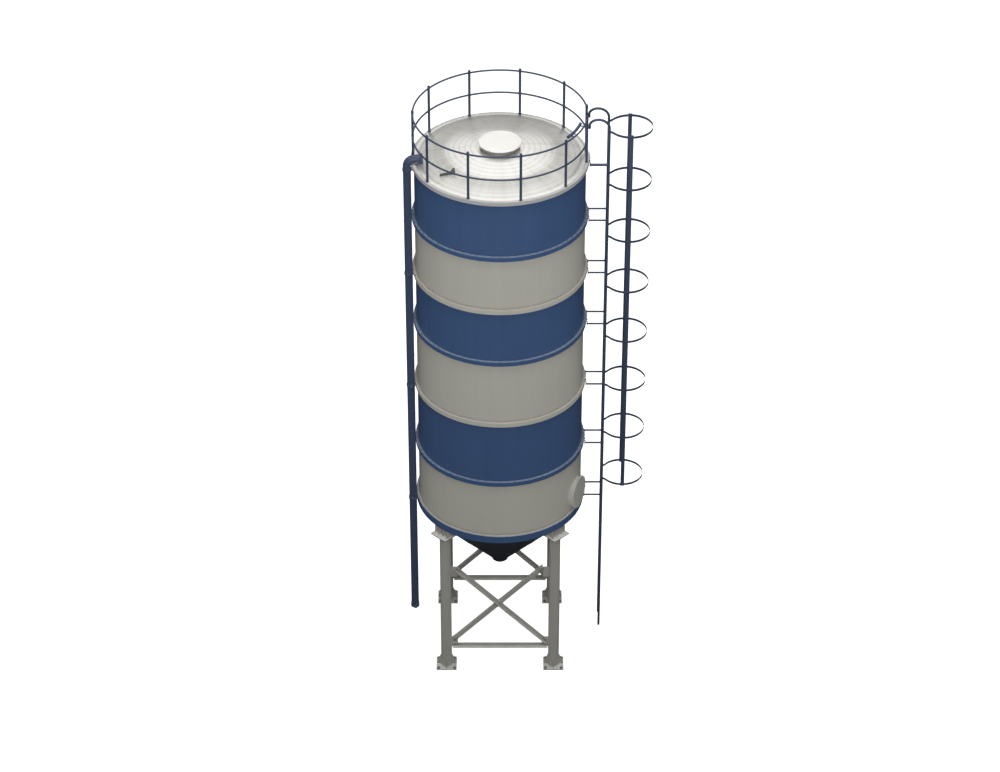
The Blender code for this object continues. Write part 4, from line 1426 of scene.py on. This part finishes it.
def makeManhole():
    face = manhole["face"]
    flange = manhole["flange"]
    neck = manhole["neck"]
    bore = manhole["bore"]
    back = face - manhole["flangeSteel"]
    end = face - manhole["drum"]
    wall = shell["radius"] + seatGap
    profile = [(flange - 0.002, face), (flange, face - 0.002), (flange, back + 0.002), (flange - 0.002, back),
               (neck + 0.004, back), (neck, back - 0.004), (neck, end), (bore, end), (bore, face)]
    drum = turned([(0, 5.0), (wall, 5.0), (wall, 3.0), (0, 3.0)], manholeGrey)
    ring = cutAway(turned(profile, manholeGrey, segments=96, matrix=manholeTurn), drum)
    foot = [(x, y, math.sqrt(shell["radius"] ** 2 - y ** 2))
            for x, y, level in ringPoints(neck, 0, 96, centre=Vector())]
    footWeld = weld(foot, manhole["weld"], manholeGrey, closed=True)
    settle("manhole_neck", [ring, moved(footWeld, manholeTurn)])

    seat = face + seatGap
    top = seat + manhole["cover"]
    profile = [(0, top), (flange - 0.050, top), (flange - 0.006, top - 0.001), (flange - 0.001, top - 0.005),
               (flange, top - 0.008), (flange, face + 0.002), (flange - 0.001, seat), (0, seat)]
    spots = []
    circle = manhole["boltCircle"]
    for step in range(manhole["bolts"]):
        angle = 2 * math.pi * (step + 0.5) / manhole["bolts"]
        spots.append((circle * math.cos(angle), circle * math.sin(angle), top - 0.001))
    heads = bolts(spots, (0, 0, 1), manhole["boltAcross"], manholeGrey)
    settle("manhole_cover", [turned(profile, manholeGrey, segments=96, matrix=manholeTurn),
                                           moved(heads, manholeTurn)])


makeManhole()
print("manhole ready")


# Studio

studio = {
    "cameraBack": 50.424,
    "cameraHeight": 41.035,
    "lens": 113.54,
    "tilt": math.radians(90 - 34.715),
    "skyBase": 0.03,                  # of the light round the horizon and below
    "skyRise": 0.20,                  # what it gains towards the zenith
    "skyTop": 0.9,                    # the bright patch overhead
    "floorSize": 400.0,
    "floorLevel": -0.001,
    "floorColour": srgb(242, 242, 242),
    "floorGlow": 0.85,
    "softboxes": {                    # place and aim from the silo's foot, size, watts
        "front": ((0.3, -16.0, 15.0), (0.0, 0.0, 7.0), (9.0, 7.0), 1430.0),
        "back": ((0.0, 19.7, 27.6), (0.0, 0.0, 11.4), (17.0, 22.0), 1000.0),
        "overhead": ((0.0, -3.0, 30.0), (0.0, 0.0, 11.4), (12.0, 12.0), 1900.0),
    },
}
white = (1.0, 1.0, 1.0, 1.0)


def makeFloor():
    half = studio["floorSize"] / 2
    mesh = bpy.data.meshes.new("floor")
    corners = ((-half, -half), (half, -half), (half, half), (-half, half))
    mesh.from_pydata([(x, y, studio["floorLevel"]) for x, y in corners], [], [(0, 1, 2, 3)])
    floor = added("floor", mesh)
    material, board, shader = newMaterial("paleFloor")
    board.plugAll(shader, {"Base Color": studio["floorColour"], "Roughness": 0.9, "Specular IOR Level": 0.0,
                           "Emission Color": white, "Emission Strength": studio["floorGlow"]})
    mesh.materials.append(material)
    floor.visible_glossy = False
    floor.visible_diffuse = False


def makeLight():
    world = bpy.data.worlds.new("studio")
    world.use_nodes = True
    bpy.context.scene.world = world
    board = Board(world.node_tree)
    background = world.node_tree.nodes["Background"]
    direction = board.node("ShaderNodeTexCoord", output="Generated")
    split = board.node("ShaderNodeSeparateXYZ", sockets={0: direction})
    height = board.maths("MAXIMUM", split.out("Z"), 0.0)
    strength = studio["skyBase"] + studio["skyRise"] * height + studio["skyTop"] * height ** 8
    seen = board.node("ShaderNodeLightPath", output="Is Camera Ray")      # the backdrop itself is white
    board.plugAll(background, {"Color": white, "Strength": board.maths("MAXIMUM", strength, seen)})

    for name, (place, aim, size, watts) in studio["softboxes"].items():
        data = bpy.data.lights.new(name, "AREA")
        data.shape = "RECTANGLE"
        data.size, data.size_y = size
        data.energy = watts
        light = added(name, data)
        light.location = shellAxis + Vector(place)
        light.rotation_euler = (Vector(aim) - Vector(place)).to_track_quat("-Z", "Y").to_euler()
        light.visible_glossy = name != "overhead"     # it whitens the cover without a glare on the sheet


def makeCamera():
    data = bpy.data.cameras.new("camera")
    data.lens = studio["lens"]
    data.sensor_width = 36.0
    data.clip_end = 1000.0
    camera = added("camera", data)
    camera.location = shellAxis + Vector((0, -studio["cameraBack"], studio["cameraHeight"]))
    camera.rotation_euler = (studio["tilt"], 0, 0)
    bpy.context.scene.camera = camera
    bpy.context.scene.view_settings.view_transform = "Standard"


makeFloor()
makeLight()
makeCamera()
print("studio ready")
